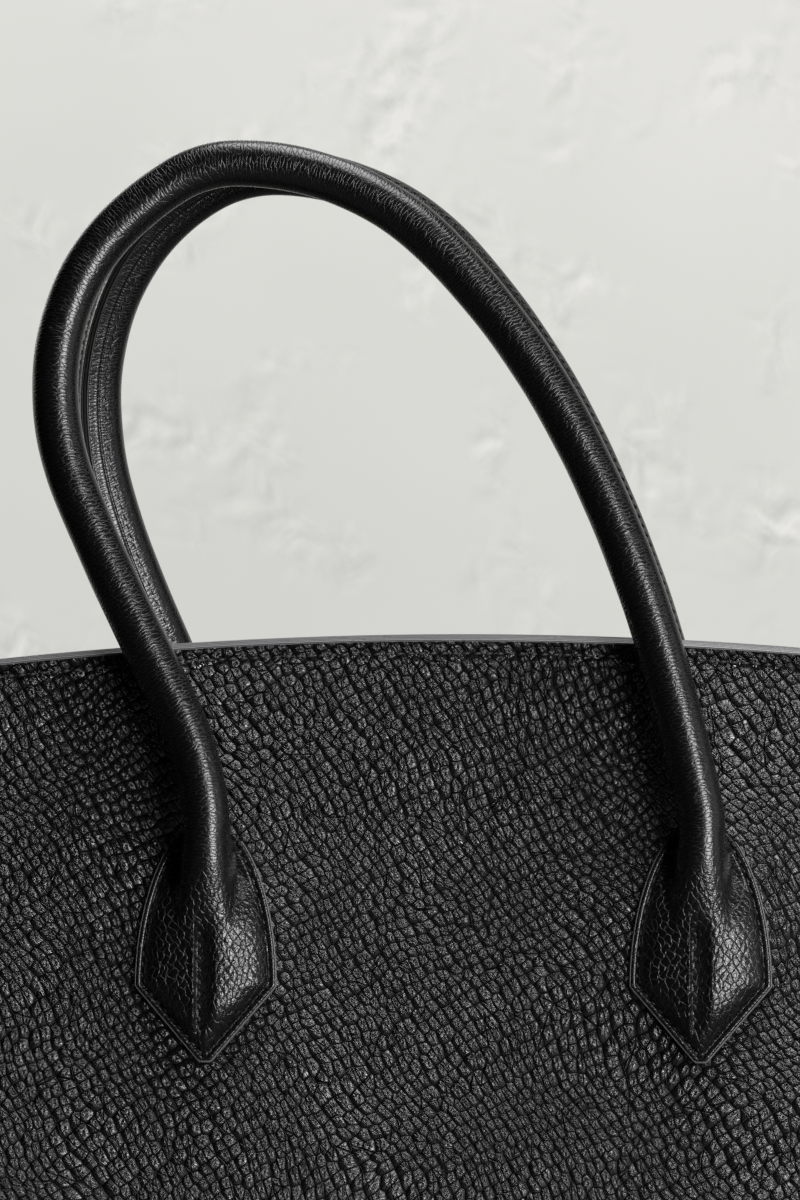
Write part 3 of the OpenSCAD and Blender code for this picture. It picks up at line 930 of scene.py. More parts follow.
def cut_cloth(piece: Piece, surface: Array) -> None:
    """Logs the flat size and area of cloth that covers a surface.

    Args:
        piece: The piece.
        surface: Points of the smooth surface, rows down by columns across, in millimetres.
    """
    across = np.linalg.norm(np.diff(surface, axis=1), axis=-1).sum(1)
    down = np.linalg.norm(np.diff(surface, axis=0), axis=-1).sum(0)
    first, second = surface[1:, 1:] - surface[:-1, :-1], surface[1:, :-1] - surface[:-1, 1:]
    area = np.linalg.norm(np.cross(first, second), axis=-1).sum() / 2 * MM ** 2
    flat = (float(across.max()) * MM, float(down.max()) * MM)
    LOG.info("%s: cut %.0f by %.0f mm, %.4f square metres", piece.name, flat[0] / MM, flat[1] / MM, area)


@dataclass(frozen=True)
class Body:
    """The bag's body: its driving sizes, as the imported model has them, and the shapes they give."""

    base_w: float = 370.0
    rim_w: float = 340.0
    rim_h: float = 285.0
    base_d: float = 160.0
    rim_d: float = 62.0
    rim_r: float = 1250.0
    lean_deg: float = 9.5
    flat_len: float = 135.0
    belly: float = 6.0
    fold_depth: float = 36.0
    panel_t: float = 1.6
    board_t: float = 1.4
    facing_t: float = 1.2
    facing_h: float = 48.0
    gusset_t: float = 1.4
    lining_t: float = 0.8
    base_board_t: float = 2.5
    margin: float = 9.0
    base_z: float = 6.0
    corner_r: float = 7.0
    edge_h: float = 0.9
    edge_rise: float = 0.6
    stitch_in: float = 4.8
    knee_pull: float = 0.36
    belly_pull: float = 0.42
    above_rim: float = 20.0

    @property
    def lean(self) -> float:
        """The upper walls' lean in radians."""
        return math.radians(self.lean_deg)

    @property
    def lining_in(self) -> float:
        """Depth of the lining's outer face below the wall's outer face."""
        return self.panel_t + self.board_t

    @property
    def facing_in(self) -> float:
        """Depth of the facing's inner face below the wall's outer face."""
        return self.lining_in + self.facing_t

    @property
    def base_lining_z(self) -> float:
        """Height of the base lining's underside."""
        return self.base_z + self.panel_t + self.base_board_t

    @property
    def base_top(self) -> float:
        """Height of the base lining's upper face."""
        return self.base_lining_z + self.lining_t

    @property
    def corner_z(self) -> float:
        """Height of the rim's corners."""
        return self.rim_h - self.rim_r + math.sqrt(self.rim_r ** 2 - self.rim_w ** 2 / 4)

    def profile(self) -> Array:
        """A wall's profile: straight from the rim to the knee, then one cubic curve through the belly.

        Returns:
            Half depth and height in rows, from above the rim down to the base.
        """
        knee = np.array([
            self.rim_d / 2 + self.flat_len * math.sin(self.lean),
            self.rim_h - self.flat_len * math.cos(self.lean),
        ])
        drop = knee[1] - self.base_top
        keys = [
            knee,
            knee + self.knee_pull * drop * np.array([math.sin(self.lean), -math.cos(self.lean)]),
            np.array([self.base_d / 2 + self.belly, self.base_top + self.belly_pull * drop]),
            np.array([self.base_d / 2, self.base_top]),
        ]
        t = np.linspace(0, 1, 60)[:, None]
        curve = ((1 - t) ** 3 * keys[0] + 3 * t * (1 - t) ** 2 * keys[1]
                 + 3 * t * t * (1 - t) * keys[2] + t ** 3 * keys[3])
        over = [self.rim_d / 2 - self.above_rim * math.tan(self.lean), self.rim_h + self.above_rim]
        return np.concatenate([[over], curve, [[self.base_d / 2, self.base_z]]])

    def half_depth(self, z: Array) -> Array:
        """Half depth of a wall's outer face at a height."""
        points = self.profile()[::-1]
        return np.interp(z, points[:, 1], points[:, 0])

    def half_width(self, z: Array) -> Array:
        """Half width of the body at a height: upright beside the base, then leaning in to the rim."""
        slope = (self.base_w - self.rim_w) / 2 / (self.corner_z - self.base_top)
        return self.base_w / 2 - slope * np.maximum(0, np.asarray(z, float) - self.base_top)

    def top_path(self, inset: float, step: float = 1.2) -> Array:
        """The rim, drawn in by an inset.

        It is the arch, x^2 + (z - centre)^2 = (r - inset)^2, with a quadratic curve round each corner. A
        corner lies where the arch meets the body's side, which a few rounds of trying find.

        Args:
            inset: How far it lies inside the wall's border.
            step: Distance between points.

        Returns:
            X and Z in rows, from the left side to the right.
        """
        centre = self.rim_h - self.rim_r
        radius = self.rim_r - inset
        x = self.rim_w / 2 - inset
        for _ in range(6):
            z = centre + math.sqrt(radius ** 2 - x ** 2)
            x = float(self.half_width(z)) - inset
        r = self.corner_r
        start = np.array([float(self.half_width(z - r)) - inset, z - r])
        end = np.array([x - r, centre + math.sqrt(radius ** 2 - (x - r) ** 2)])
        t = np.linspace(0, 1, 9)[:, None]
        curve = (1 - t) ** 2 * start + 2 * t * (1 - t) * np.array([x, z]) + t * t * end
        over = np.linspace(x - r, 0, round((x - r) / step))[1:]
        right = np.concatenate([curve, np.column_stack([over, centre + np.sqrt(radius ** 2 - over ** 2)])])
        return np.concatenate([right[:-1] * [-1, 1], right[::-1]])

    def outline(self, inset: float, low_z: float, step: float = 1.0) -> Array:
        """The wall's border: up the left side, over the rim and down the right side.

        Args:
            inset: How far it lies inside the wall's border.
            low_z: Height of its two ends.
            step: Distance between points.

        Returns:
            X and Z in rows.
        """
        top = self.top_path(inset, step)
        z = np.linspace(low_z, top[0, 1], round((top[0, 1] - low_z) / step))[:-1]
        left = np.column_stack([inset - self.half_width(z), z])
        return np.concatenate([left, top, (left * [-1, 1])[::-1]])

    def grid(self, inset: float, low_z: float, columns: int = 150, rows: int = 110,
             lowered: float = 0.0) -> tuple[Array, Array]:
        """A grid over one wall, whose columns fan out from the base and whose rows crowd towards the rim.

        A column starts at the rim's point T and at a height z lies at
        T.x * (half_width(z) - inset) / (half_width(T.z) - inset), so the outer ones follow the sides.

        Args:
            inset: How far it lies inside the wall's border.
            low_z: Height of its bottom row.
            columns: Points across.
            rows: Points down.
            lowered: How far the top row lies below the rim.

        Returns:
            X and Z of the points, rows by columns.
        """
        top = self.top_path(inset)
        length = travelled(top)
        s = np.linspace(-1, 1, columns)
        crowd = 0.5 + 0.5 * np.sign(s) * (1 - (1 - np.abs(s)) ** 1.35)
        x_top, z_top = (np.interp(crowd * length[-1], length, column) for column in top.T)
        z_top = z_top - lowered
        z = z_top + (low_z - z_top) * np.linspace(0, 1, rows)[:, None] ** 1.7
        return x_top * (self.half_width(z) - inset) / (self.half_width(z_top) - inset), z

    def place(self, x: Array, z: Array, depth: Array, face: Face) -> Array:
        """Points at an X, a Z and a depth below a wall's outer face, in the bag's axes."""
        x, z, depth = np.broadcast_arrays(x, z, depth)
        return np.stack([x, -face.value * (self.half_depth(z) - depth), z], -1)

    def frame(self, face: Face) -> tuple[Array, Array, Array]:
        """A wall's own frame.

        Args:
            face: The wall.

        Returns:
            Its origin at the rim's crown, and unit vectors up the wall and straight out of it.
        """
        s, c, sign = math.sin(self.lean), math.cos(self.lean), face.value
        origin = np.array([0, -sign * self.rim_d / 2, self.rim_h])
        return origin, np.array([0, sign * s, c]), np.array([0, -sign * c, s])

    def on_wall(self, across: Array, up: Array, out: Array, face: Face) -> Array:
        """Points given in a wall's own frame, in the bag's axes.

        Args:
            across: Their places across the wall.
            up: Their places up the wall from the rim's crown.
            out: Their heights above the wall.
            face: The wall.

        Returns:
            The points, along a new last axis.
        """
        origin, rise, outward = self.frame(face)
        across, up, out = (part[..., None] for part in np.broadcast_arrays(across, up, out))
        return origin + across * np.array([1.0, 0, 0]) + up * rise + out * outward


@dataclass(frozen=True)
class Wall:
    """One wall of the body: pebbled leather outside, then the facing, the lining and their stitches."""

    body: Body
    face: Face
    seed: int
    groove: float = 1.05

    def _relief(self, x: Array, z: Array) -> Array:
        """How far the leather stands proud of its nominal face.

        Slow sine waves give the hide's waver. The leather sinks to the row of stitches, in a bell on the
        inner side and a slow curve on the outer one, which ends at the edge. Two shallow bells beside the
        row are the leather that it presses aside.

        Args:
            x: X of the leather's points.
            z: Z of the leather's points.

        Returns:
            The relief at each point.
        """
        body = self.body
        border = body.outline(0, body.base_z, 2.0)
        near = np.full(x.shape, 99.0)
        zone = (body.top_path(0)[:, 1].max() - z < 40) | (body.half_width(z) - np.abs(x) < 20)
        points = np.column_stack([x[zone], z[zone]])
        near[zone] = np.linalg.norm(points[:, None] - border[None], axis=-1).min(1)
        rng = np.random.default_rng(self.seed)
        wave = sum(
            rng.uniform(0.10, 0.22) * np.sin(2 * np.pi * (x * math.cos(a) + z * math.sin(a)) / w + p)
            for a, w, p in zip(rng.uniform(0, np.pi, 6), rng.uniform(38, 120, 6), rng.uniform(0, 6.28, 6))
        )
        outer = np.clip(near / body.stitch_in, 0, 1) ** 1.3
        sunk = self.groove * np.where(near < body.stitch_in, outer, bell(near, body.stitch_in, 0.9))
        pressed = 0.1 * bell(near, 2.6, 0.9) + 0.2 * bell(near, 7.2, 1.3)
        return wave * ease(near, 4, 24) - sunk + pressed

    def leather(self) -> None:
        """The outer leather: the wall's profile carried across, with the relief on its outer face."""
        body, word = self.body, self.face.word
        x, z = body.grid(body.edge_h, body.base_z)
        outer = body.place(x, z, -self._relief(x, z), self.face)
        inner = body.place(x, z, body.panel_t, self.face)
        middle = z[:, z.shape[1] // 2]
        down = travelled(body.place(np.zeros(len(z)), middle, 0, self.face))
        places = np.stack([x, np.interp(-z, -middle, -down)], -1) * MM
        skin = Skin().slab(outer, inner, places)
        settle(made(skin, f"{word}_wall_leather", PEBBLED, Slot.PEBBLED), f"{word}_panel")

    def edge(self) -> None:
        """The painted edge round the sides and the rim: a low dome over the plies.

        It is as wide as the plies beneath it: leather, board and facing at the rim, two leathers at the
        sides. With t from -1 to 1 across them it rises as (1 - |t|^1.55)^0.9, less a narrow bell along
        each glue line.
        """
        body = self.body
        path = respaced(body.outline(0, body.base_z - 0.4), 1.6)
        tangent = unit(np.gradient(path, axis=0))
        normal = np.column_stack([-tangent[:, 1], tangent[:, 0]])
        near_rim = (ease(np.abs(path[:, 0]), body.rim_w / 2 - 6, body.rim_w / 2 - 22)
                    * ease(path[:, 1], body.corner_z - 12, body.corner_z - 4))
        side_t = body.panel_t + body.gusset_t
        thick = side_t + (body.facing_in - side_t) * near_rim
        crown = np.linspace(-1, 1, 38)
        t = np.append(crown, [0.82, -0.82])
        proud = np.append((1 - np.abs(crown) ** 1.55) ** 0.9, [-0.35, -0.35])
        glued = sum(bell(t, c, 0.045) for c in (-0.86, -0.62, -0.36, -0.05, 0.3, 0.62))
        over = 0.06
        depth = (t + 1) / 2 * (thick[:, None] + 2 * over) - over
        reach = (body.edge_h + body.edge_rise) * proud - body.edge_h - 0.10 * glued * (proud > 0)
        x, z = (path[:, k:k + 1] + normal[:, k:k + 1] * reach for k in (0, 1))
        points = body.place(x, z, depth, self.face)
        section = np.column_stack([reach, depth[0]])
        u = travelled(np.concatenate([section, section[:1]]))
        skin = Skin().tube(points, np.stack(np.meshgrid(u, travelled(points[:, 0])), -1) * MM)
        settle(made(skin, f"{self.face.word}_painted_edge", PAINT, Slot.SMOOTH, 80))

    def facing(self) -> None:
        """The smooth leather facing inside the rim.

        Its inner face swells in slow sine waves, thins in a bell at its lower edge and sinks in another
        where it is stitched.
        """
        body, word = self.body, self.face.word
        top = body.grid(body.margin, body.rim_h - body.facing_h, 110, 30)[0][0]
        t = np.linspace(0, 1, 30)[:, None]
        down = t * body.facing_h
        z = np.interp(top, *body.top_path(0).T) - body.edge_h - t * (body.facing_h - body.edge_h)
        x = np.broadcast_to(top, z.shape)
        turned = 0.35 * bell(down, body.facing_h, 1.6)
        swell = 0.10 * np.sin(x / 17.0) * np.sin(np.pi * t) - 0.25 * bell(down, 44.5, 0.9)
        outer = body.place(x, z, body.lining_in, self.face)
        inner = body.place(x, z, body.facing_in - turned + swell, self.face)
        skin = Skin().slab(outer, inner, spread_places(inner))
        settle(made(skin, f"{word}_rim_facing", SMOOTH, Slot.SMOOTH), f"{word}_facing")

    def lining(self) -> None:
        """The lining between the facing and the base: cloth with a few shallow pulls where it hangs loose.

        It stands off by sin(pi t) times its slack, with t from 0 at the base to 1 at the top. A sine
        wave across, bent by another down the wall, varies the slack.
        """
        body, word = self.body, self.face.word
        x, z = body.grid(body.margin, body.base_lining_z, 100, 60, body.facing_h - 3)
        t = (z - z[-1]) / (z[0] - z[-1])
        middle = np.sin(np.pi * t)
        slack = 0.5 + 0.35 * np.sin(x / 11 + 1.7 * np.sin(z / 40)) * middle ** 0.7
        outer = body.place(x, z, body.lining_in + 0.02, self.face)
        inner = body.place(x, z, body.lining_in + body.lining_t + slack * middle, self.face)
        skin = Skin().slab(outer, inner, spread_places(inner))
        piece = made(skin, f"{word}_wall_lining", TWILL, Slot.LINING)
        cut_cloth(piece, outer)
        settle(piece, f"{word}_lining")

    def stitches(self) -> None:
        """The sunk row of stitches along the rim and down the sides, and the facing's lower row inside."""
        body = self.body
        x, z = respaced(body.outline(body.stitch_in, body.base_z + 4), 1.0).T
        sunk = 0.55
        base = body.place(x, z, sunk, self.face)
        rise = unit(body.place(x, z + 1.0, sunk, self.face) - base)
        skin = Skin()
        Stitching(thick=0.8, rise=0.3).along(skin, base, unit(np.cross([self.face.value, 0, 0], rise)))
        x, z = body.top_path(body.margin + 3).T
        inside = body.place(x, z + 12 - body.facing_h + 3.5, body.facing_in - 0.2, self.face)
        Stitching(length=2.5).along(skin, inside, -body.frame(self.face)[2])
        settle(made(skin, f"{self.face.word}_wall_stitches", THREAD))

    def build(self) -> None:
        """Makes the wall's pieces."""
        self.leather()
        self.edge()
        self.facing()
        self.lining()
        self.stitches()


@dataclass(frozen=True)
class FoldedSide:
    """One side of the body: leather that folds in as a soft V, deeper towards the rim, and its lining."""

    body: Body
    side: Side
    crease: float = 0.12

    @property
    def top_z(self) -> float:
        """Height of the side's top edge."""
        return self.body.corner_z - 0.2 - self.body.panel_t

    def points(self, z: Array, t: Array, depth: Array | float) -> Array:
        """Points of the side.

        x = half_width(z) - depth - fold(z) * share(t), where the fold grows as the square of the height
        and the share falls from 1 in the middle to 0 at the walls, rounded at the crease.

        Args:
            z: Their heights.
            t: Their places across, from -1 at one wall to 1 at the other.
            depth: How far each lies below the leather's outer face.

        Returns:
            The points, along a new last axis.
        """
        body, c = self.body, self.crease
        share = 1 - (np.sqrt(t * t + c * c) - c) / (math.sqrt(1 + c * c) - c)
        rise = np.clip((z - body.base_top) / (self.top_z - body.base_top), 0, 1)
        x = body.half_width(z) - depth - body.fold_depth * rise ** 2 * share
        y = t * (body.half_depth(z) - body.panel_t)
        return np.stack([self.side.value * x, y, np.broadcast_to(z, x.shape)], -1)

    def waved(self, low_z: float, top_z: float, rows: int, columns: int) -> tuple[Array, Array, Array]:
        """An even grid over the side, with slow waves where the fold has softened it.

        Args:
            low_z: Height of its bottom row.
            top_z: Height of its top row.
            rows: Points down.
            columns: Points across.

        Returns:
            Heights, places across and the waves' heights, rows by columns.
        """
        z = np.linspace(top_z, low_z, rows)[:, None] * np.ones(columns)
        t = np.linspace(-1, 1, columns)[None] * np.ones((rows, 1))
        wave = 0.7 * np.sin(z / 23 + 2 * t) + 0.4 * np.sin(z / 9 + 5 * t)
        wave *= np.sin(np.pi * (t + 1) / 2)
        wave *= ease(z, self.body.base_z, 60) * ease(z, self.top_z, self.top_z - 12)
        return z, t, wave

    def leather(self) -> None:
        """The side's pebbled leather."""
        word = self.side.word
        z, t, wave = self.waved(self.body.base_z, self.top_z, 90, 61)
        outer, inner = self.points(z, t, -wave), self.points(z, t, self.body.gusset_t - wave)
        skin = Skin().slab(outer, inner, spread_places(outer))
        settle(made(skin, f"{word}_side_leather", PEBBLED, Slot.PEBBLED), f"{word}_gusset")

    def lining(self) -> None:
        """The side's lining, just inside the leather."""
        body, word = self.body, self.side.word
        z, t, wave = self.waved(body.base_z + body.panel_t, self.top_z - 0.8, 80, 51)
        outer = self.points(z, t, body.gusset_t + 0.03 - wave)
        inner = self.points(z, t, body.gusset_t + body.lining_t - wave)
        skin = Skin().slab(outer, inner, spread_places(inner))
        piece = made(skin, f"{word}_side_lining", TWILL, Slot.LINING)
        cut_cloth(piece, self.points(z, t, body.gusset_t))
        settle(piece, f"{word}_lining")

    def trim(self) -> None:
        """The painted edge along the side's top: an ellipse over leather and lining, carried along them."""
        thick = self.body.gusset_t + self.body.lining_t
        path = self.points(np.full(90, self.top_z), np.linspace(-0.985, 0.985, 90), thick / 2)
        up = np.broadcast_to([0, 0, 1.0], path.shape)
        across = unit(np.cross(up, unit(np.gradient(path, axis=0))))
        a = circle(20)
        wide = (thick / 2 + 0.12) * np.abs(across[:, :1])
        section = np.stack(np.broadcast_arrays(wide * np.cos(a), 0.9 * np.sin(a)), -1)
        skin = Skin().sweep(path, across, up, section)
        settle(made(skin, f"{self.side.word}_side_painted_edge", PAINT, Slot.SMOOTH, 80))

    def stitches(self) -> None:
        """A row of stitches below the side's top edge."""
        path = self.points(np.full(200, self.top_z - 4.0), np.linspace(-0.93, 0.93, 200), 0.05)
        out = np.cross(unit(np.gradient(path, axis=0)), [0, 0, 1.0])
        out *= np.sign(out[:, :1]) * self.side.value
        skin = Skin()
        Stitching().along(skin, path, unit(out))
        settle(made(skin, f"{self.side.word}_side_stitches", THREAD))

    def build(self) -> None:
        """Makes the side's pieces."""
        self.leather()
        self.lining()
        self.trim()
        self.stitches()


@dataclass(frozen=True)
class Base:
    """The base: its leather, its lining and the welt that closes the bottom seam."""

    body: Body
    welt_r: float = 1.7
    welt_in: float = 1.2
    corner_r: float = 7.0

    def half_size(self, x_in: float, y_in: float) -> tuple[float, float]:
        """Half width and half depth of the base, less two insets."""
        return self.body.base_w / 2 - x_in, self.body.base_d / 2 - y_in

    def sheet(self, low: float, high: float, half: tuple[float, float]) -> Skin:
        """A flat sheet.

        Args:
            low: Height of its underside.
            high: Height of its upper face.
            half: Its half width and half depth.

        Returns:
            Its surface.
        """
        x, y = np.meshgrid(half[0] * np.linspace(-1, 1, 90), half[1] * np.linspace(-1, 1, 50))
        upper, lower = (np.stack([x, y, np.full(x.shape, z)], -1) for z in (high, low))
        return Skin().slab(upper, lower, upper[..., :2] * MM)

    def leather(self) -> None:
        """The base's pebbled leather."""
        body = self.body
        half = self.half_size(body.gusset_t, body.panel_t)
        skin = self.sheet(body.base_z, body.base_z + body.panel_t, half)
        settle(made(skin, "base_leather", PEBBLED, Slot.PEBBLED), "base_panel")

    def lining(self) -> None:
        """The base's lining."""
        body = self.body
        half = self.half_size(body.gusset_t + body.lining_t, body.lining_in + body.lining_t)
        skin = self.sheet(body.base_lining_z + 0.05, body.base_top, half)
        piece = made(skin, "base_lining_cloth", TWILL, Slot.LINING)
        flat = np.array([[[x, y, 0.0] for x in (-half[0], half[0])] for y in (half[1], -half[1])])
        cut_cloth(piece, flat)
        settle(piece, "base_lining")

    def welt(self) -> None:
        """A rolled leather welt round the bottom edge: a circle carried round a rounded rectangle."""
        inset = self.welt_in + self.corner_r
        half = np.array(self.half_size(inset, inset))
        quarter = np.linspace(0, 90, 12)
        corners = []
        for sign, start in (((1, 1), 0), ((-1, 1), 90), ((-1, -1), 180), ((1, -1), 270)):
            a = np.radians(start + quarter)
            corners.append(half * sign + self.corner_r * np.column_stack([np.cos(a), np.sin(a)]))
        flat = np.concatenate([*corners, corners[0][:1]])
        even = respaced(np.column_stack([flat, np.full(len(flat), self.body.base_z + 0.5)]), 3.0)[:-1]
        up = np.broadcast_to([0, 0, 1.0], even.shape)
        across = np.cross(unit(np.roll(even, -1, axis=0) - np.roll(even, 1, axis=0)), up)
        a = circle(14)
        section = self.welt_r * np.column_stack([np.cos(a), np.sin(a)])
        skin = Skin().sweep(even, across, up, section, closed=True)
        settle(made(skin, "base_welt", SMOOTH, Slot.SMOOTH, 80))

    def build(self) -> None:
        """Makes the base's pieces."""
        self.leather()
        self.lining()
        self.welt()


@dataclass(frozen=True)
class SlipPocket:
    """The open pocket on the back wall's lining: cloth with a bound mouth that gapes a little."""

    body: Body
    width: float = 150.0
    height: float = 105.0
    drop: float = 18.0
    gape: float = 5.0
    hem: float = 9.0
    cloth_t: float = 0.9

    def faces(self) -> tuple[Array, Array]:
        """The cloth's two faces.

        It stands off the lining by gape * cos(pi x / width) * t^3, with t rising from 0 at the bottom to
        1 at the mouth, and by a few shallow pulls.

        Returns:
            Points on the lining's side and on the bag's inner side, rows down by columns.
        """
        body = self.body
        x = np.linspace(-1, 1, 60)[None] * self.width / 2 * np.ones((44, 1))
        t = np.linspace(1, 0, 44)[:, None] * np.ones((1, 60))
        z = body.rim_h - body.facing_h - self.drop - self.height * (1 - t)
        bow = np.cos(np.pi * x / self.width)
        stand = 1.2 + self.gape * bow * t ** 3 + 0.3 * np.sin(x / 9) * np.sin(np.pi * t)
        depth = body.lining_in + body.lining_t + stand
        return body.place(x, z, depth - self.cloth_t, Face.BACK), body.place(x, z, depth, Face.BACK)

    def build(self) -> None:
        """Makes the pocket's cloth, the binding of its mouth and its stitches."""
        outer, inner = self.faces()
        _, rise, outward = self.body.frame(Face.BACK)
        skin = Skin().slab(outer, inner, spread_places(inner))
        cloth = made(skin, "slip_pocket_cloth", TWILL, Slot.LINING)
        cut_cloth(cloth, inner)
        settle(cloth, "slip_pocket")
        a = circle(14)
        section = np.column_stack([1.0 * np.cos(a), 0.5 * self.hem * np.sin(a)])
        path = (inner[4] + outer[4]) / 2
        across, out = (np.broadcast_to(way, path.shape) for way in (-outward, rise))
        band = Skin().sweep(path, across, out, section)
        settle(made(band, "slip_pocket_binding", SMOOTH, Slot.SMOOTH, 80))
        sewn = Skin()
        edge = np.concatenate([inner[3:-2, 2], inner[-3, 2:-2], inner[3:-2, -3][::-1]])
        Stitching(length=2.4).along(sewn, edge, -outward)
        settle(made(sewn, "slip_pocket_stitches", THREAD))


@dataclass(frozen=True)
class HandleShape:
    """A rolled handle's route in its wall's own frame, and the sizes of its roll, neck and tabs."""

    spacing: float
    rise: float
    place_shares: tuple[tuple[float, float], ...]
    headings: tuple[float, ...]
    root_drop: float = 52.0
    tube_d: float = 13.4
    cover_t: float = 1.2
    flange_w: float = 2.4
    gap: float = 0.35
    flange_deg: float = -68.0
    tab_w: float = 40.0
    shield_top: float = -54.0
    tab_wide: float = -101.0
    tab_tip: float = -122.6
    tip_share: float = 0.08
    plate_t: float = 2.4

    @property
    def tube_r(self) -> float:
        """Radius of the roll."""
        return self.tube_d / 2

    @property
    def flange_turn(self) -> float:
        """The angle at which the flange leaves the roll, from out of the loop to out of the wall."""
        return math.radians(self.flange_deg)

    @property
    def tube_out(self) -> float:
        """Height of the roll's centre line above the wall."""
        a = self.flange_turn
        return self.gap - (self.flange_w + self.tube_r) * math.sin(a) + self.cover_t * math.cos(a)

    @property
    def corner_turn(self) -> float:
        """Angle between the flange's middle and the corners of its edge, seen from the roll's centre."""
        return math.atan(self.cover_t / (self.tube_r + self.flange_w))

    @property
    def leave_turn(self) -> float:
        """Angle between the flange's middle and the places where its sides leave the roll at a tangent."""
        far = math.hypot(self.cover_t, self.tube_r + self.flange_w)
        return self.corner_turn + math.acos(self.tube_r / far)

    def _arc(self, p: Array, heading: float, q: Array) -> Array:
        """The arc that leaves a point at a heading and ends at another.

        Args:
            p: The first point.
            heading: The heading there.
            q: The last point.

        Returns:
            Points and the heading at each, in rows.
        """
        v = q - p
        ahead = np.array([math.cos(heading), math.sin(heading)])
        left = np.array([-ahead[1], ahead[0]])
        turn = math.atan2(v @ left, v @ ahead)
        headings = heading + 2 * turn * np.linspace(0, 1, 30)
        radius = math.hypot(*v) / 2 / math.sin(turn)
        points = p + radius * left + radius * np.column_stack([np.sin(headings), -np.cos(headings)])
        return np.column_stack([points, headings])

    def route(self, step: float) -> Array:
        """The roll's centre line between its necks.

        Between two keys it runs on two arcs that meet smoothly. With t0 and t1 the directions at the
        keys and v the way between them, both arcs reach d = (sqrt((v.t)^2 + k v.v) - v.t) / k ahead of
        their key, where t = t0 + t1 and k = 2 (1 - t0.t1).

        Args:
            step: Distance between points.

        Returns:
            Across, up and heading, in rows.
        """
        keys = [
            (np.array([u * self.spacing, v * self.rise - self.root_drop]), math.radians(heading))
            for (u, v), heading in zip(self.place_shares, self.headings)
        ]
        rows = []
        for (p, a), (q, b) in zip(keys[:-1], keys[1:]):
            t0, t1 = (np.array([math.cos(x), math.sin(x)]) for x in (a, b))
            v, t, k = q - p, t0 + t1, 2 * (1 - t0 @ t1)
            d = (math.sqrt((v @ t) ** 2 + k * (v @ v)) - v @ t) / k
            middle = (p + d * t0 + q - d * t1) / 2
            first = self._arc(p, a, middle)
            rows += [first[:-1], self._arc(middle, first[-1, 2], q)[:-1]]
        rows.append(np.array([[*keys[-1][0], keys[-1][1]]]))
        return respaced(np.concatenate(rows), step, 2)

    def shield_half(self, v: Array) -> Array:
        """Half width of a tab: a swelling shoulder, half * sin(pi/2 t)^0.42, over a straight-sided point.

        Args:
            v: Levels up the wall.

        Returns:
            The half width at each.
        """
        half = self.tab_w / 2
        turn = np.clip((self.shield_top - v) / (self.shield_top - self.tab_wide), 0, 1)
        down = np.clip((v - self.tab_tip) / (self.tab_wide - self.tab_tip), 0, 1)
        shoulder = half * np.sin(np.pi / 2 * turn) ** 0.42
        return np.where(v >= self.tab_wide, shoulder, half * (self.tip_share + (1 - self.tip_share) * down))

    def shield_inner(self, v: Array, border: float) -> Array:
        """Half width of a tab inside a border of even width, which the point's slanted sides widen.

        Args:
            v: Levels up the wall.
            border: The border's width.

        Returns:
            The half width at each.
        """
        narrowing = self.tab_w / 2 * (1 - self.tip_share) / (self.tab_wide - self.tab_tip)
        slanted = border * math.hypot(1, narrowing)
        width = border + (slanted - border) * ease(-v, -self.tab_wide - 3, -self.tab_wide + 3)
        return self.shield_half(v) - width


FRONT_HANDLE = HandleShape(
    141.0, 189.0,
    ((-0.5, 0), (-0.674, 0.328), (-0.816, 0.659), (-0.685, 0.907), (-0.45, 1), (0.24, 0.582), (0.5, 0)),
    (96, 115.5, 90, 45, 0, -63, -79),
)
BACK_HANDLE = HandleShape(
    141.0, 188.0,
    ((-0.5, 0), (-0.659, 0.33), (-0.758, 0.638), (-0.613, 0.92), (-0.385, 1), (0.235, 0.606), (0.5, 0)),
    (100, 112, 90, 45, 0, -63.5, -79),
)


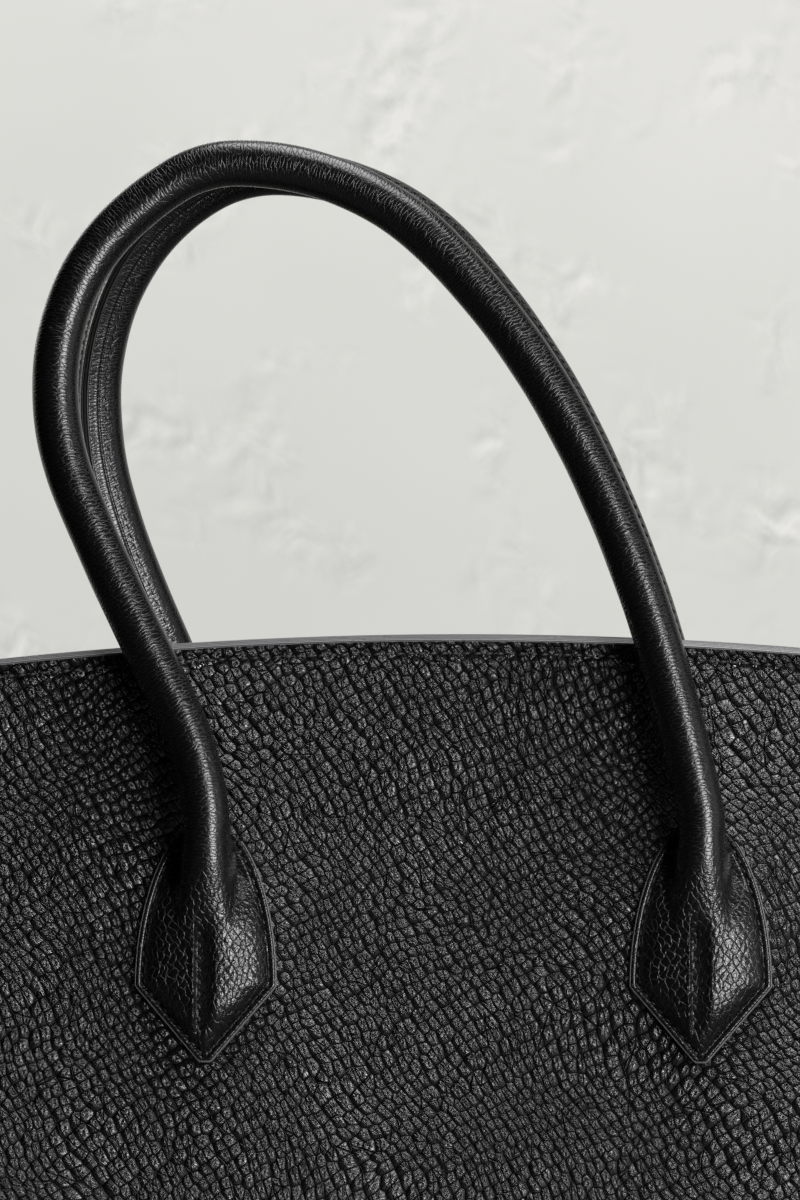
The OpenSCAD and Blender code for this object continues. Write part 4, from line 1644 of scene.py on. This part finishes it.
@dataclass(frozen=True)
class Tab:
    """A shield-shaped tab: a leather plate with a painted edge and a creased, stitched border."""

    body: Body
    handle: HandleShape
    face: Face
    side: Side
    crease_in: float = 1.9
    crease_depth: float = 0.75
    round_r: float = 0.7
    sunk: float = 0.3

    @property
    def name(self) -> str:
        """The tab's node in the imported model."""
        return f"{self.face.word}_{self.side.word}_tab"

    def at(self, x: Array, v: Array, out: Array | float) -> Array:
        """Points given across from the tab's middle, up the wall and out of it, in the bag's axes."""
        return self.body.on_wall(self.side.value * self.handle.spacing / 2 + x, v, out, self.face)

    def outline(self, border: float) -> Array:
        """The tab's outline, from its top right down to the tip and up again on the left.

        Args:
            border: How far it is drawn in.

        Returns:
            Places across from the tab's middle and up the wall, in rows.
        """
        handle = self.handle
        v = np.linspace(handle.shield_top - 5.5, handle.tab_tip + border * 1.25, 150)
        right = np.column_stack([handle.shield_inner(v, border), v])
        return np.concatenate([right, right[::-1] * [-1, 1]])

    def plate(self) -> None:
        """The plate, as a height field over the tab's outline.

        Its height falls by r * (1 - sqrt(1 - near^2)) at the rounded edge and by a bell at the crease
        that the stitches lie in. Both go by the distance to the outline, square to the outline's slope.
        """
        handle = self.handle
        high = handle.shield_top - 0.02
        v = high - np.linspace(0, 1, 120)[:, None] ** 1.25 * (high - handle.tab_tip)
        s = np.linspace(-1, 1, 91)
        x = np.sign(s) * (1 - (1 - np.abs(s)) ** 1.8) * handle.shield_half(v)
        v = np.broadcast_to(v, x.shape)
        step = 0.2
        slope = (handle.shield_half(v + step) - handle.shield_half(v - step)) / (2 * step)
        aside = (handle.shield_half(v) - np.abs(x)) / np.hypot(1, np.minimum(np.abs(slope), 6))
        distance = np.maximum(np.minimum(aside, v - handle.tab_tip), 0)
        near = np.clip(1 - distance / self.round_r, 0, 1)
        edge = self.round_r * (1 - np.sqrt(1 - near * near))
        top = handle.plate_t - edge - self.crease_depth * bell(distance, self.crease_in, 0.42)
        skin = Skin().slab(self.at(x, v, top), self.at(x, v, -self.sunk), np.stack([x, v], -1) * MM)
        settle(made(skin, f"{self.name}_plate", ROLLED, Slot.PEBBLED, 60), self.name)

    def edge(self) -> None:
        """The painted edge of the plate: a thin half round carried round the outline."""
        path = respaced(self.outline(0.0), 0.9)
        tangent = unit(np.gradient(path, axis=0))
        away = np.column_stack([-tangent[:, 1], tangent[:, 0]])
        away *= np.sign(away[0, 0])
        a = circle(16)
        reach = 0.32 * np.cos(a)
        middle = self.handle.plate_t / 2 - self.sunk
        level = middle + (middle + 0.22) * np.sin(a)
        x, v = (path[:, k:k + 1] + away[:, k:k + 1] * reach for k in (0, 1))
        places = np.stack(np.meshgrid(np.linspace(0, 6, 17), travelled(path)), -1) * MM
        skin = Skin().tube(self.at(x, v, level), places)
        settle(made(skin, f"{self.name}_edge", PAINT, Slot.SMOOTH, 80))

    def stitches(self) -> None:
        """The stitches in the plate's crease, which end where the roll's neck covers it."""
        path = self.outline(self.crease_in)
        x, v = path[(np.abs(path[:, 0]) > 7.5) | (path[:, 1] < self.handle.tab_wide)].T
        base = self.at(x, v, self.handle.plate_t - self.crease_depth - 0.05)
        skin = Skin()
        sewing = Stitching(pitch=3.1, length=2.6, thick=0.6, rise=0.25)
        sewing.along(skin, base, self.body.frame(self.face)[2])
        settle(made(skin, f"{self.name}_stitches", THREAD))

    def build(self) -> None:
        """Makes the tab's pieces."""
        self.plate()
        self.edge()
        self.stitches()


@dataclass(frozen=True)
class Handle:
    """A rolled handle: one leather skin from tab to tab, its painted seam edge and its stitches.

    Its levels go up the wall from the rim's crown. In each pair a change starts at the first level and
    is done at the second: the roll flattens, opens and fills into a cushion, which thins to the tab's tip.
    """

    body: Body
    shape: HandleShape
    face: Face
    flank_points: int = 22
    border: float = 2.15
    neck: float = 14.0
    flange_levels: tuple[float, float] = (-58.0, -38.0)
    bend_levels: tuple[float, float] = (-71.0, -46.0)
    flattens: tuple[float, float] = (-55.5, -64.0)
    grain_opens: tuple[float, float] = (-60.0, -80.0)
    opens: tuple[float, float] = (-64.0, -90.0)
    fills: tuple[float, float] = (-60.0, -94.0)
    thins: tuple[float, float] = (-106.0, -122.0)
    groove_starts: tuple[float, float] = (-80.0, -90.0)
    groove_ends: tuple[float, float] = (-111.0, -118.0)
    under: float = 1.3
    cushion_high: float = 7.8
    groove_x: float = -2.3
    groove_depth: float = 0.43
    scallop: float = 3.5

    @property
    def name(self) -> str:
        """The handle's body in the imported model."""
        return f"{self.face.word}_handle"

    def centre_line(self) -> Array:
        """The handle's centre line, from the left tab's tip to the right one's.

        Below the roots it runs straight down the middle of each tab, with a small cubic correction so
        that it meets the roll's heading.

        Returns:
            Across, up and heading, in rows.
        """
        shape = self.shape
        roll = shape.route(1.8)
        far = -shape.root_drop - shape.tab_tip - 2.6
        down = -shape.root_drop - np.append(np.linspace(0, 36, 52)[1:], np.linspace(36, far, 44)[1:])
        t = np.clip((down + shape.root_drop + self.neck) / self.neck, 0, 1)
        rows = []
        for root, sign in ((roll[0], -1), (roll[-1], 1)):
            slope = self.neck / math.tan(root[2])
            across = sign * shape.spacing / 2 + (t ** 3 - t ** 2) * slope
            straight = -sign * math.pi / 2
            rows.append(np.column_stack([across, down, straight + (root[2] - straight) * ease(t, 0, 1)]))
        return np.concatenate([rows[0][::-1], roll, rows[1]])

    def turns(self) -> Array:
        """Angles round the section.

        Returns:
            The angles from the flange's middle, closer at its sides and at the crest.
        """
        shape = self.shape
        corner, leave = shape.corner_turn, shape.leave_turn
        crest, near, full = math.pi / 2 - shape.flange_turn, math.radians(11), 2 * math.pi
        side = np.linspace(corner, leave, self.flank_points)
        return np.concatenate([
            [-corner, 0.0], side[:-1], np.linspace(leave, crest - near, 46)[:-1],
            np.linspace(crest - near, crest + near, 34)[:-1], np.linspace(crest + near, full - leave, 46),
            full - side[:0:-1],
        ])

    def section(self, turns: Array, flange: Array, radius: Array) -> Array:
        """The roll's section: a circle whose seam is drawn out into a flange with flat sides.

        At an angle t from the flange's middle it lies at r + flange * (rho(t) - r). There rho is
        (r + w) / cos(t) over the flange's edge, r / cos(leave - t) down its sides, which leave the circle
        at a tangent, and r elsewhere. A line is pressed into each side.

        Args:
            turns: The angles.
            flange: How far the flange is drawn out at each station, from 0 to 1.
            radius: The roll's radius at each station.

        Returns:
            The points, out of the loop and out of the wall.
        """
        shape = self.shape
        corner, leave = shape.corner_turn, shape.leave_turn
        turn = np.abs(np.mod(turns + math.pi, 2 * math.pi) - math.pi)
        short = np.clip(leave - turn, 0, leave - corner)
        over_edge = (shape.tube_r + shape.flange_w) / np.cos(np.minimum(turn, corner))
        reach = np.where(turn <= corner + 1e-6, over_edge, shape.tube_r / np.cos(short))
        from_edge = shape.tube_r * (math.tan(leave - corner) - np.tan(short))
        pressed = 0.28 * bell(from_edge, 3.3, 0.3) - 0.12 * bell(from_edge, 2.6, 0.35)
        reach = reach - np.where(turn < leave, pressed, 0)
        r = radius[:, None] + flange[:, None] * (reach - shape.tube_r)
        angle = turns + shape.flange_turn
        return np.stack([r * np.cos(angle), r * np.sin(angle)], -1)

    def half_width(self, v: Array) -> Array:
        """Half width of the padded leather: inside the tab's border, and round the whole roll at the neck."""
        least = np.where(v > -70, self.shape.tube_r + 0.5, 1.2)
        return np.maximum(self.shape.shield_inner(v, self.border), least)

    def cushion(self, x: Array, v: Array) -> Array:
        """Height of the padded tab above the wall, where the roll has opened.

        At the neck it is still the roll's crown, which drops off at its sides to skirts that run out to
        the border. Lower down it fills into a cushion, (1 - s^1.6)^0.5 with s the share of the half
        width. A groove parts that into two lobes, with a scalloped lip on its left.

        Args:
            x: Places across from the tab's middle.
            v: Levels up the wall.

        Returns:
            The height at each place.
        """
        r = self.shape.tube_r
        s = np.clip(np.abs(x) / self.half_width(v), 0, 1)
        axis = self.shape.tube_out - self.under
        top = axis + r
        height = top + (self.cushion_high - top) * ease(v, *self.fills)
        height = height * (1 - ease(v, *self.thins)) ** 0.6
        drop = np.exp(-(np.maximum(np.abs(x) - r, 0) / 1.1) ** 2)
        roll = (axis + np.sqrt(np.maximum(r ** 2 - x * x, 0))) / top * drop * (1 - s ** 10)
        skirt = (1 - s) ** 1.6
        full = (1 - s ** 1.6) ** 0.5
        opened = ease(v, *self.opens)
        share = roll + (full - roll) * opened + 0.28 * (skirt - roll * skirt) * (1 - opened)
        parted = ease(v, *self.groove_starts) * (1 - ease(v, *self.groove_ends))
        slope = np.cos(np.pi / 2 * np.clip((x - self.groove_x) / 6.2, 0, 1)) ** 2
        groove = self.groove_depth * np.where(x < self.groove_x, bell(x, self.groove_x, 0.4), slope) * parted
        wave = 0.5 + 0.5 * np.cos(2 * np.pi * (v - 0.7 * x) / self.scallop)
        lip = (0.02 + 0.08 * wave) * bell(x, self.groove_x - 0.8, 0.7) * parted
        return self.under + height * (share * (1 - groove) + lip)

    def leather(self) -> None:
        """The handle's skin, from one tab's lobes through the roll to the other's.

        Each ring goes over from the roll's section to the padded tab's as it leaves the neck. The
        texture places run from the crest round the ring, and along the handle.
        """
        shape, word = self.shape, self.face.word
        line = self.centre_line()
        across, up, heading = line.T
        travel = travelled(line[:, :2])
        radius = shape.tube_r * (1 + 0.006 * np.sin(travel / 9.0) + 0.005 * np.sin(travel / 3.7 + 1))
        turns = self.turns()
        section = self.section(turns, ease(up, *self.flange_levels), radius)
        turn = np.mod(turns + shape.flange_turn, 2 * np.pi)
        x = self.half_width(up[:, None]) * np.cos(turn)
        level = np.broadcast_to(up[:, None], x.shape)
        side = np.where(np.arange(len(line)) < len(line) / 2, -1.0, 1.0)[:, None]
        padded = np.where(turn <= np.pi, self.cushion(x * side, level), 0.9)
        opened = ease(level, *self.flattens)
        aside = section[..., 0] * (1 - opened) + x * opened
        out = (shape.tube_out + section[..., 1]) * (1 - opened) + padded * opened
        points = self.body.on_wall(across[:, None] - aside * np.sin(heading)[:, None],
                                   level + aside * np.cos(heading)[:, None], out, self.face)
        closed = np.concatenate([points, points[:, :1]], axis=1)
        steps = np.linalg.norm(np.diff(closed, axis=1), axis=-1)
        u = np.concatenate([np.zeros((len(line), 1)), np.cumsum(steps, axis=1)], axis=1)
        crest = int(np.argmin(np.abs(turn - np.pi / 2)))
        u = u - u[:, crest:crest + 1]
        places = np.stack([u, np.broadcast_to(travel[:, None], u.shape)], -1) * MM
        skin = Skin().tube(points, places, ease(level, *self.grain_opens))
        piece = made(skin, f"{self.name}_leather", ROLLED, Slot.HANDLE, 70)
        inside = [f"{word}_{side.word}_{part}" for side in Side for part in ("neck", "filler")]
        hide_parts(f"{self.name}_cover", f"{self.name}_core", *inside)
        self.bend(piece)

    def bend(self, piece: Piece) -> None:
        """Bakes a piece's transform into its mesh, and reports it.

        Args:
            piece: The piece.
        """
        start, end = (self.body.on_wall(0, v, self.shape.tube_out, self.face) * MM for v in self.bend_levels)
        self.name
        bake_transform(piece)
        LOG.info("%s: %d faces, bag to %s", piece.name, len(piece.data.polygons), self.name)

    def _beside_roll(self, turn: float, reach: float, facing: float) -> tuple[Array, Array]:
        """A line that runs beside the roll.

        Args:
            turn: Its angle from the flange's middle.
            reach: Its distance from the roll's centre line, where the flange is fully drawn out.
            facing: The angle, from the flange's middle, of the direction to return.

        Returns:
            The line's points, and the unit vectors of that direction.
        """
        shape = self.shape
        line = shape.route(1.6)
        across, up, heading = line[line[:, 1] > -45.5].T
        far = shape.tube_r + (reach - shape.tube_r) * ease(up, *self.flange_levels)
        normal = np.column_stack([-np.sin(heading), np.cos(heading)])
        angle, look = shape.flange_turn + turn, shape.flange_turn + facing
        aside = far * math.cos(angle)
        points = self.body.on_wall(across + aside * normal[:, 0], up + aside * normal[:, 1],
                                   shape.tube_out + far * math.sin(angle), self.face)
        _, rise, outward = self.body.frame(self.face)
        in_wall = normal[:, :1] * np.array([1.0, 0, 0]) + normal[:, 1:] * rise
        return points, math.cos(look) * in_wall + math.sin(look) * outward

    def seam_edge(self) -> None:
        """The painted edge of the flange: three plies with a deep line between each two.

        Across it, with t from -1 to 1, it rises as (1 - |t|^3)^0.6, less two narrow bells.
        """
        shape = self.shape
        reach = shape.tube_r + shape.flange_w
        points, along = self._beside_roll(0.0, reach, 0.0)
        _, beside = self._beside_roll(0.0, reach, math.pi / 2)
        t = np.linspace(-1, 1, 41)
        proud = 0.55 * (1 - np.abs(t) ** 3) ** 0.6 - 0.3 * bell(t, -0.36, 0.09) - 0.3 * bell(t, 0.36, 0.09)
        top = np.column_stack([(shape.cover_t + 0.1) * t, proud])
        foot = [[shape.cover_t * 0.8, -0.4], [-shape.cover_t * 0.8, -0.4]]
        skin = Skin().sweep(points, beside, along, np.concatenate([top, foot]))
        self.bend(made(skin, f"{self.name}_painted_edge", DARK_PAINT, Slot.SMOOTH, 80))

    def stitches(self) -> None:
        """Stitches down both sides of the flange, where it leaves the roll, and in the groove of each tab."""
        shape = self.shape
        skin = Skin()
        inside = math.radians(7)
        for sign in (1, -1):
            turn = sign * (shape.leave_turn - inside)
            points, out = self._beside_roll(turn, shape.tube_r / math.cos(inside), sign * shape.leave_turn)
            Stitching(pitch=3.0, length=2.5, thick=0.5).along(skin, points, out)
        v = np.linspace(-84.0, -114.5, 60)
        x = np.full(60, -1.5)
        lean = unit(self.body.frame(self.face)[2] + np.array([0.7, 0, 0]))
        for side in Side:
            middle = side.value * shape.spacing / 2
            path = self.body.on_wall(middle + x, v, self.cushion(x, v) - 0.3, self.face)
            Stitching(pitch=3.5, length=3.2, thick=0.95, slant=0.4).along(skin, path, lean)
        self.bend(made(skin, f"{self.name}_stitches", THREAD))

    def build(self) -> None:
        """Makes the handle's pieces."""
        self.leather()
        self.seam_edge()
        self.stitches()


def dress_kept_nodes() -> None:
    """Gives the rigid pieces that are right as packed a finish of their own."""
    metal = ("feet", "foot_washers", "snap_stud", "snap_socket", "snap_stud_plate", "snap_socket_plate")
    boards = ["front_stiffener", "back_stiffener", "base_board"]
    boards += [f"{face.word}_{side.word}_backer" for face in Face for side in Side]
    for names, finish in ((metal, BRASS), (boards, BOARD)):
        for name in names:
            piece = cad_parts[name]
            for slot in piece.material_slots:
                slot.material = finish.material()
            if not piece.material_slots:
                piece.data.materials.append(finish.material())
            LOG.info("%s: kept as packed", name)


@dataclass(frozen=True)
class Studio:
    """The floor, the lamps, the world and the camera. The lamps' sizes and places are in metres."""

    floor_r: float = 1150.0
    camera_far: float = 2500.0
    camera_yaw_deg: float = 2.3
    aim: tuple[float, float] = (-15.4, -40.0)
    eye_z: float = 295.6
    focal_px: float = 8750.0
    frame_px: float = 1200.0
    film: float = 36.0
    lamp_aim: tuple[float, float, float] = (0.0, -0.04, 0.26)

    def floor(self) -> None:
        """A disc of floor, with rings that crowd in under the bag."""
        radius = self.floor_r * np.linspace(0.02, 1, 40)[:, None] ** 1.4
        angle = circle(96)
        top = np.stack(np.broadcast_arrays(radius * np.cos(angle), radius * np.sin(angle), 0.0), -1)
        skin = Skin()
        index = skin.rings(top, np.concatenate([top, top[:, :1]], axis=1)[..., :2] * MM)
        skin.fan(index[0][::-1], np.zeros(3), np.zeros(2))
        disc = made(skin, "studio_floor", StudioPaint())
        if disc.data.polygons[0].normal.z < 0:
            disc.data.flip_normals()
        disc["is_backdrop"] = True

    def lamp(self, name: str, place: tuple[float, float, float], size: tuple[float, float],
             watts: float) -> None:
        """Adds one soft rectangular lamp that faces the bag.

        Args:
            name: The lamp's name.
            place: Its place in metres.
            size: Its width and height in metres.
            watts: Its power.
        """
        data = bpy.data.lights.new(name, "AREA")
        data.shape = "RECTANGLE"
        data.size, data.size_y = size
        data.energy = watts
        lamp = bpy.data.objects.new(name, data)
        lamp.location = place
        lamp.rotation_euler = (Vector(self.lamp_aim) - Vector(place)).to_track_quat("-Z", "Y").to_euler()
        bpy.context.collection.objects.link(lamp)

    def lamps(self) -> None:
        """Soft boxes: the main one to the right of the camera, one overhead, one far right, one behind."""
        self.lamp("key_box", (1.17, -1.6, 0.5), (0.75, 1.3), 54.0)
        self.lamp("top_box", (0.25, 0.1, 1.9), (1.4, 0.9), 30.0)
        self.lamp("side_box", (1.9, -0.3, 0.6), (1.2, 1.4), 4.0)
        self.lamp("back_box", (-0.8, 1.9, 1.1), (1.4, 1.0), 7.0)

    def world(self) -> None:
        """A pale plastered wall for the camera, and for the bag a dark room that is pale behind it.

        The wall grows darker down to the left, and in slow clouds. Its trowel marks are painted light and
        shade:
        a noise less the same noise a little further down to the right paints a relief's lit and shaded
        sides, shown in patches.
        """
        world = bpy.data.worlds.new("studio_room")
        world.use_nodes = True
        tree = world.node_tree
        tree.nodes.clear()
        toward = add_node(tree, "TexCoord", out="Generated")
        depth = add_node(tree, "SeparateXYZ", (toward,), out=1)
        behind = add_node(tree, "MapRange", (depth, 0.35, 0.95), **STEP)
        room = add_node(tree, "Mix", {0: behind, 6: srgb("#030303"), 7: srgb("#d2d1cd")}, **TINTS)
        slope = add_node(tree, "VectorMath", (toward, (0.45, 0.0, 1.0)), out=1, operation="DOT_PRODUCT")
        cloud = add_node(tree, "TexNoise", {"Vector": toward, "Scale": 22.0, "Detail": 3.0})
        aside = add_node(tree, "VectorMath", (toward, (0.0008, 0.0, -0.0012)), operation="ADD")
        scrape = {"Scale": 230.0, "Detail": 3.0, "Roughness": 0.5, "Distortion": 0.8}
        here, beside = (add_node(tree, "TexNoise", {"Vector": at, **scrape}) for at in (toward, aside))
        # Painted light and shade of the trowel marks' relief.
        marks = add_node(tree, "Math", (here, beside), operation="SUBTRACT")
        patchy = add_node(tree, "TexNoise", {"Vector": toward, "Scale": 60.0, "Detail": 2.0})
        patches = add_node(tree, "MapRange", (patchy, 0.47, 0.7, 0.0, 2.0), **STEP)
        level = add_node(tree, "MapRange", (slope, -0.043, 0.071, 0.28, 0.78), **STEP)
        clouds = add_node(tree, "MapRange", (cloud, 0.3, 0.7, -0.07, 0.07), **STEP)
        level = add_node(tree, "Math", (clouds, level), operation="ADD")
        level = add_node(tree, "Math", (marks, patches, level), operation="MULTIPLY_ADD")
        wall = add_node(tree, "Mix", {0: level, 6: srgb("#cacbc6"), 7: srgb("#e8e7e3")}, **TINTS)
        ray = add_node(tree, "LightPath", out="Is Camera Ray")
        lit = add_node(tree, "Background", {"Color": room, "Strength": 1.0})
        seen = add_node(tree, "Background", {"Color": wall, "Strength": 1.0})
        both = add_node(tree, "MixShader", (ray, lit, seen))
        add_node(tree, "OutputWorld", {"Surface": both}, out=None)
        bpy.context.scene.world = world

    def camera(self) -> None:
        """A level camera in line with the photograph: far off, with a long lens."""
        yaw = math.radians(self.camera_yaw_deg)
        data = bpy.data.cameras.new("camera")
        data.sensor_fit = "VERTICAL"
        data.sensor_width = data.sensor_height = self.film
        data.lens = self.focal_px / self.frame_px * self.film
        data.clip_end = 50.0
        camera = bpy.data.objects.new("camera", data)
        camera.location = (
            (self.aim[0] + self.camera_far * math.sin(yaw)) * MM,
            (self.aim[1] - self.camera_far * math.cos(yaw)) * MM,
            self.eye_z * MM,
        )
        camera.rotation_euler = (math.pi / 2, 0, yaw)
        bpy.context.collection.objects.link(camera)
        bpy.context.scene.camera = camera

    def build(self) -> None:
        """Makes the whole studio."""
        self.floor()
        self.lamps()
        self.world()
        self.camera()


def write_sizes() -> None:
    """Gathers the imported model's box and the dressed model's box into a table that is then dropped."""
    boxes = {"cad": CAD_BOX, "visual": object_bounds()}
    boxes = {name: [list(corner) for corner in box] for name, box in boxes.items()}


def main() -> None:
    """Builds the studio and the bag, piece by piece."""
    logging.basicConfig(level=logging.INFO, format="%(message)s")
    bpy.context.scene.view_settings.view_transform = "Standard"
    Studio().build()
    body = Body()
    for face, shape, seed in ((Face.FRONT, FRONT_HANDLE, 7), (Face.BACK, BACK_HANDLE, 11)):
        Wall(body, face, seed).build()
        for side in Side:
            Tab(body, shape, face, side).build()
        Handle(body, shape, face).build()
    for side in Side:
        FoldedSide(body, side).build()
    Base(body).build()
    SlipPocket(body).build()
    dress_kept_nodes()
    write_sizes()


if __name__ == "__main__":
    main()
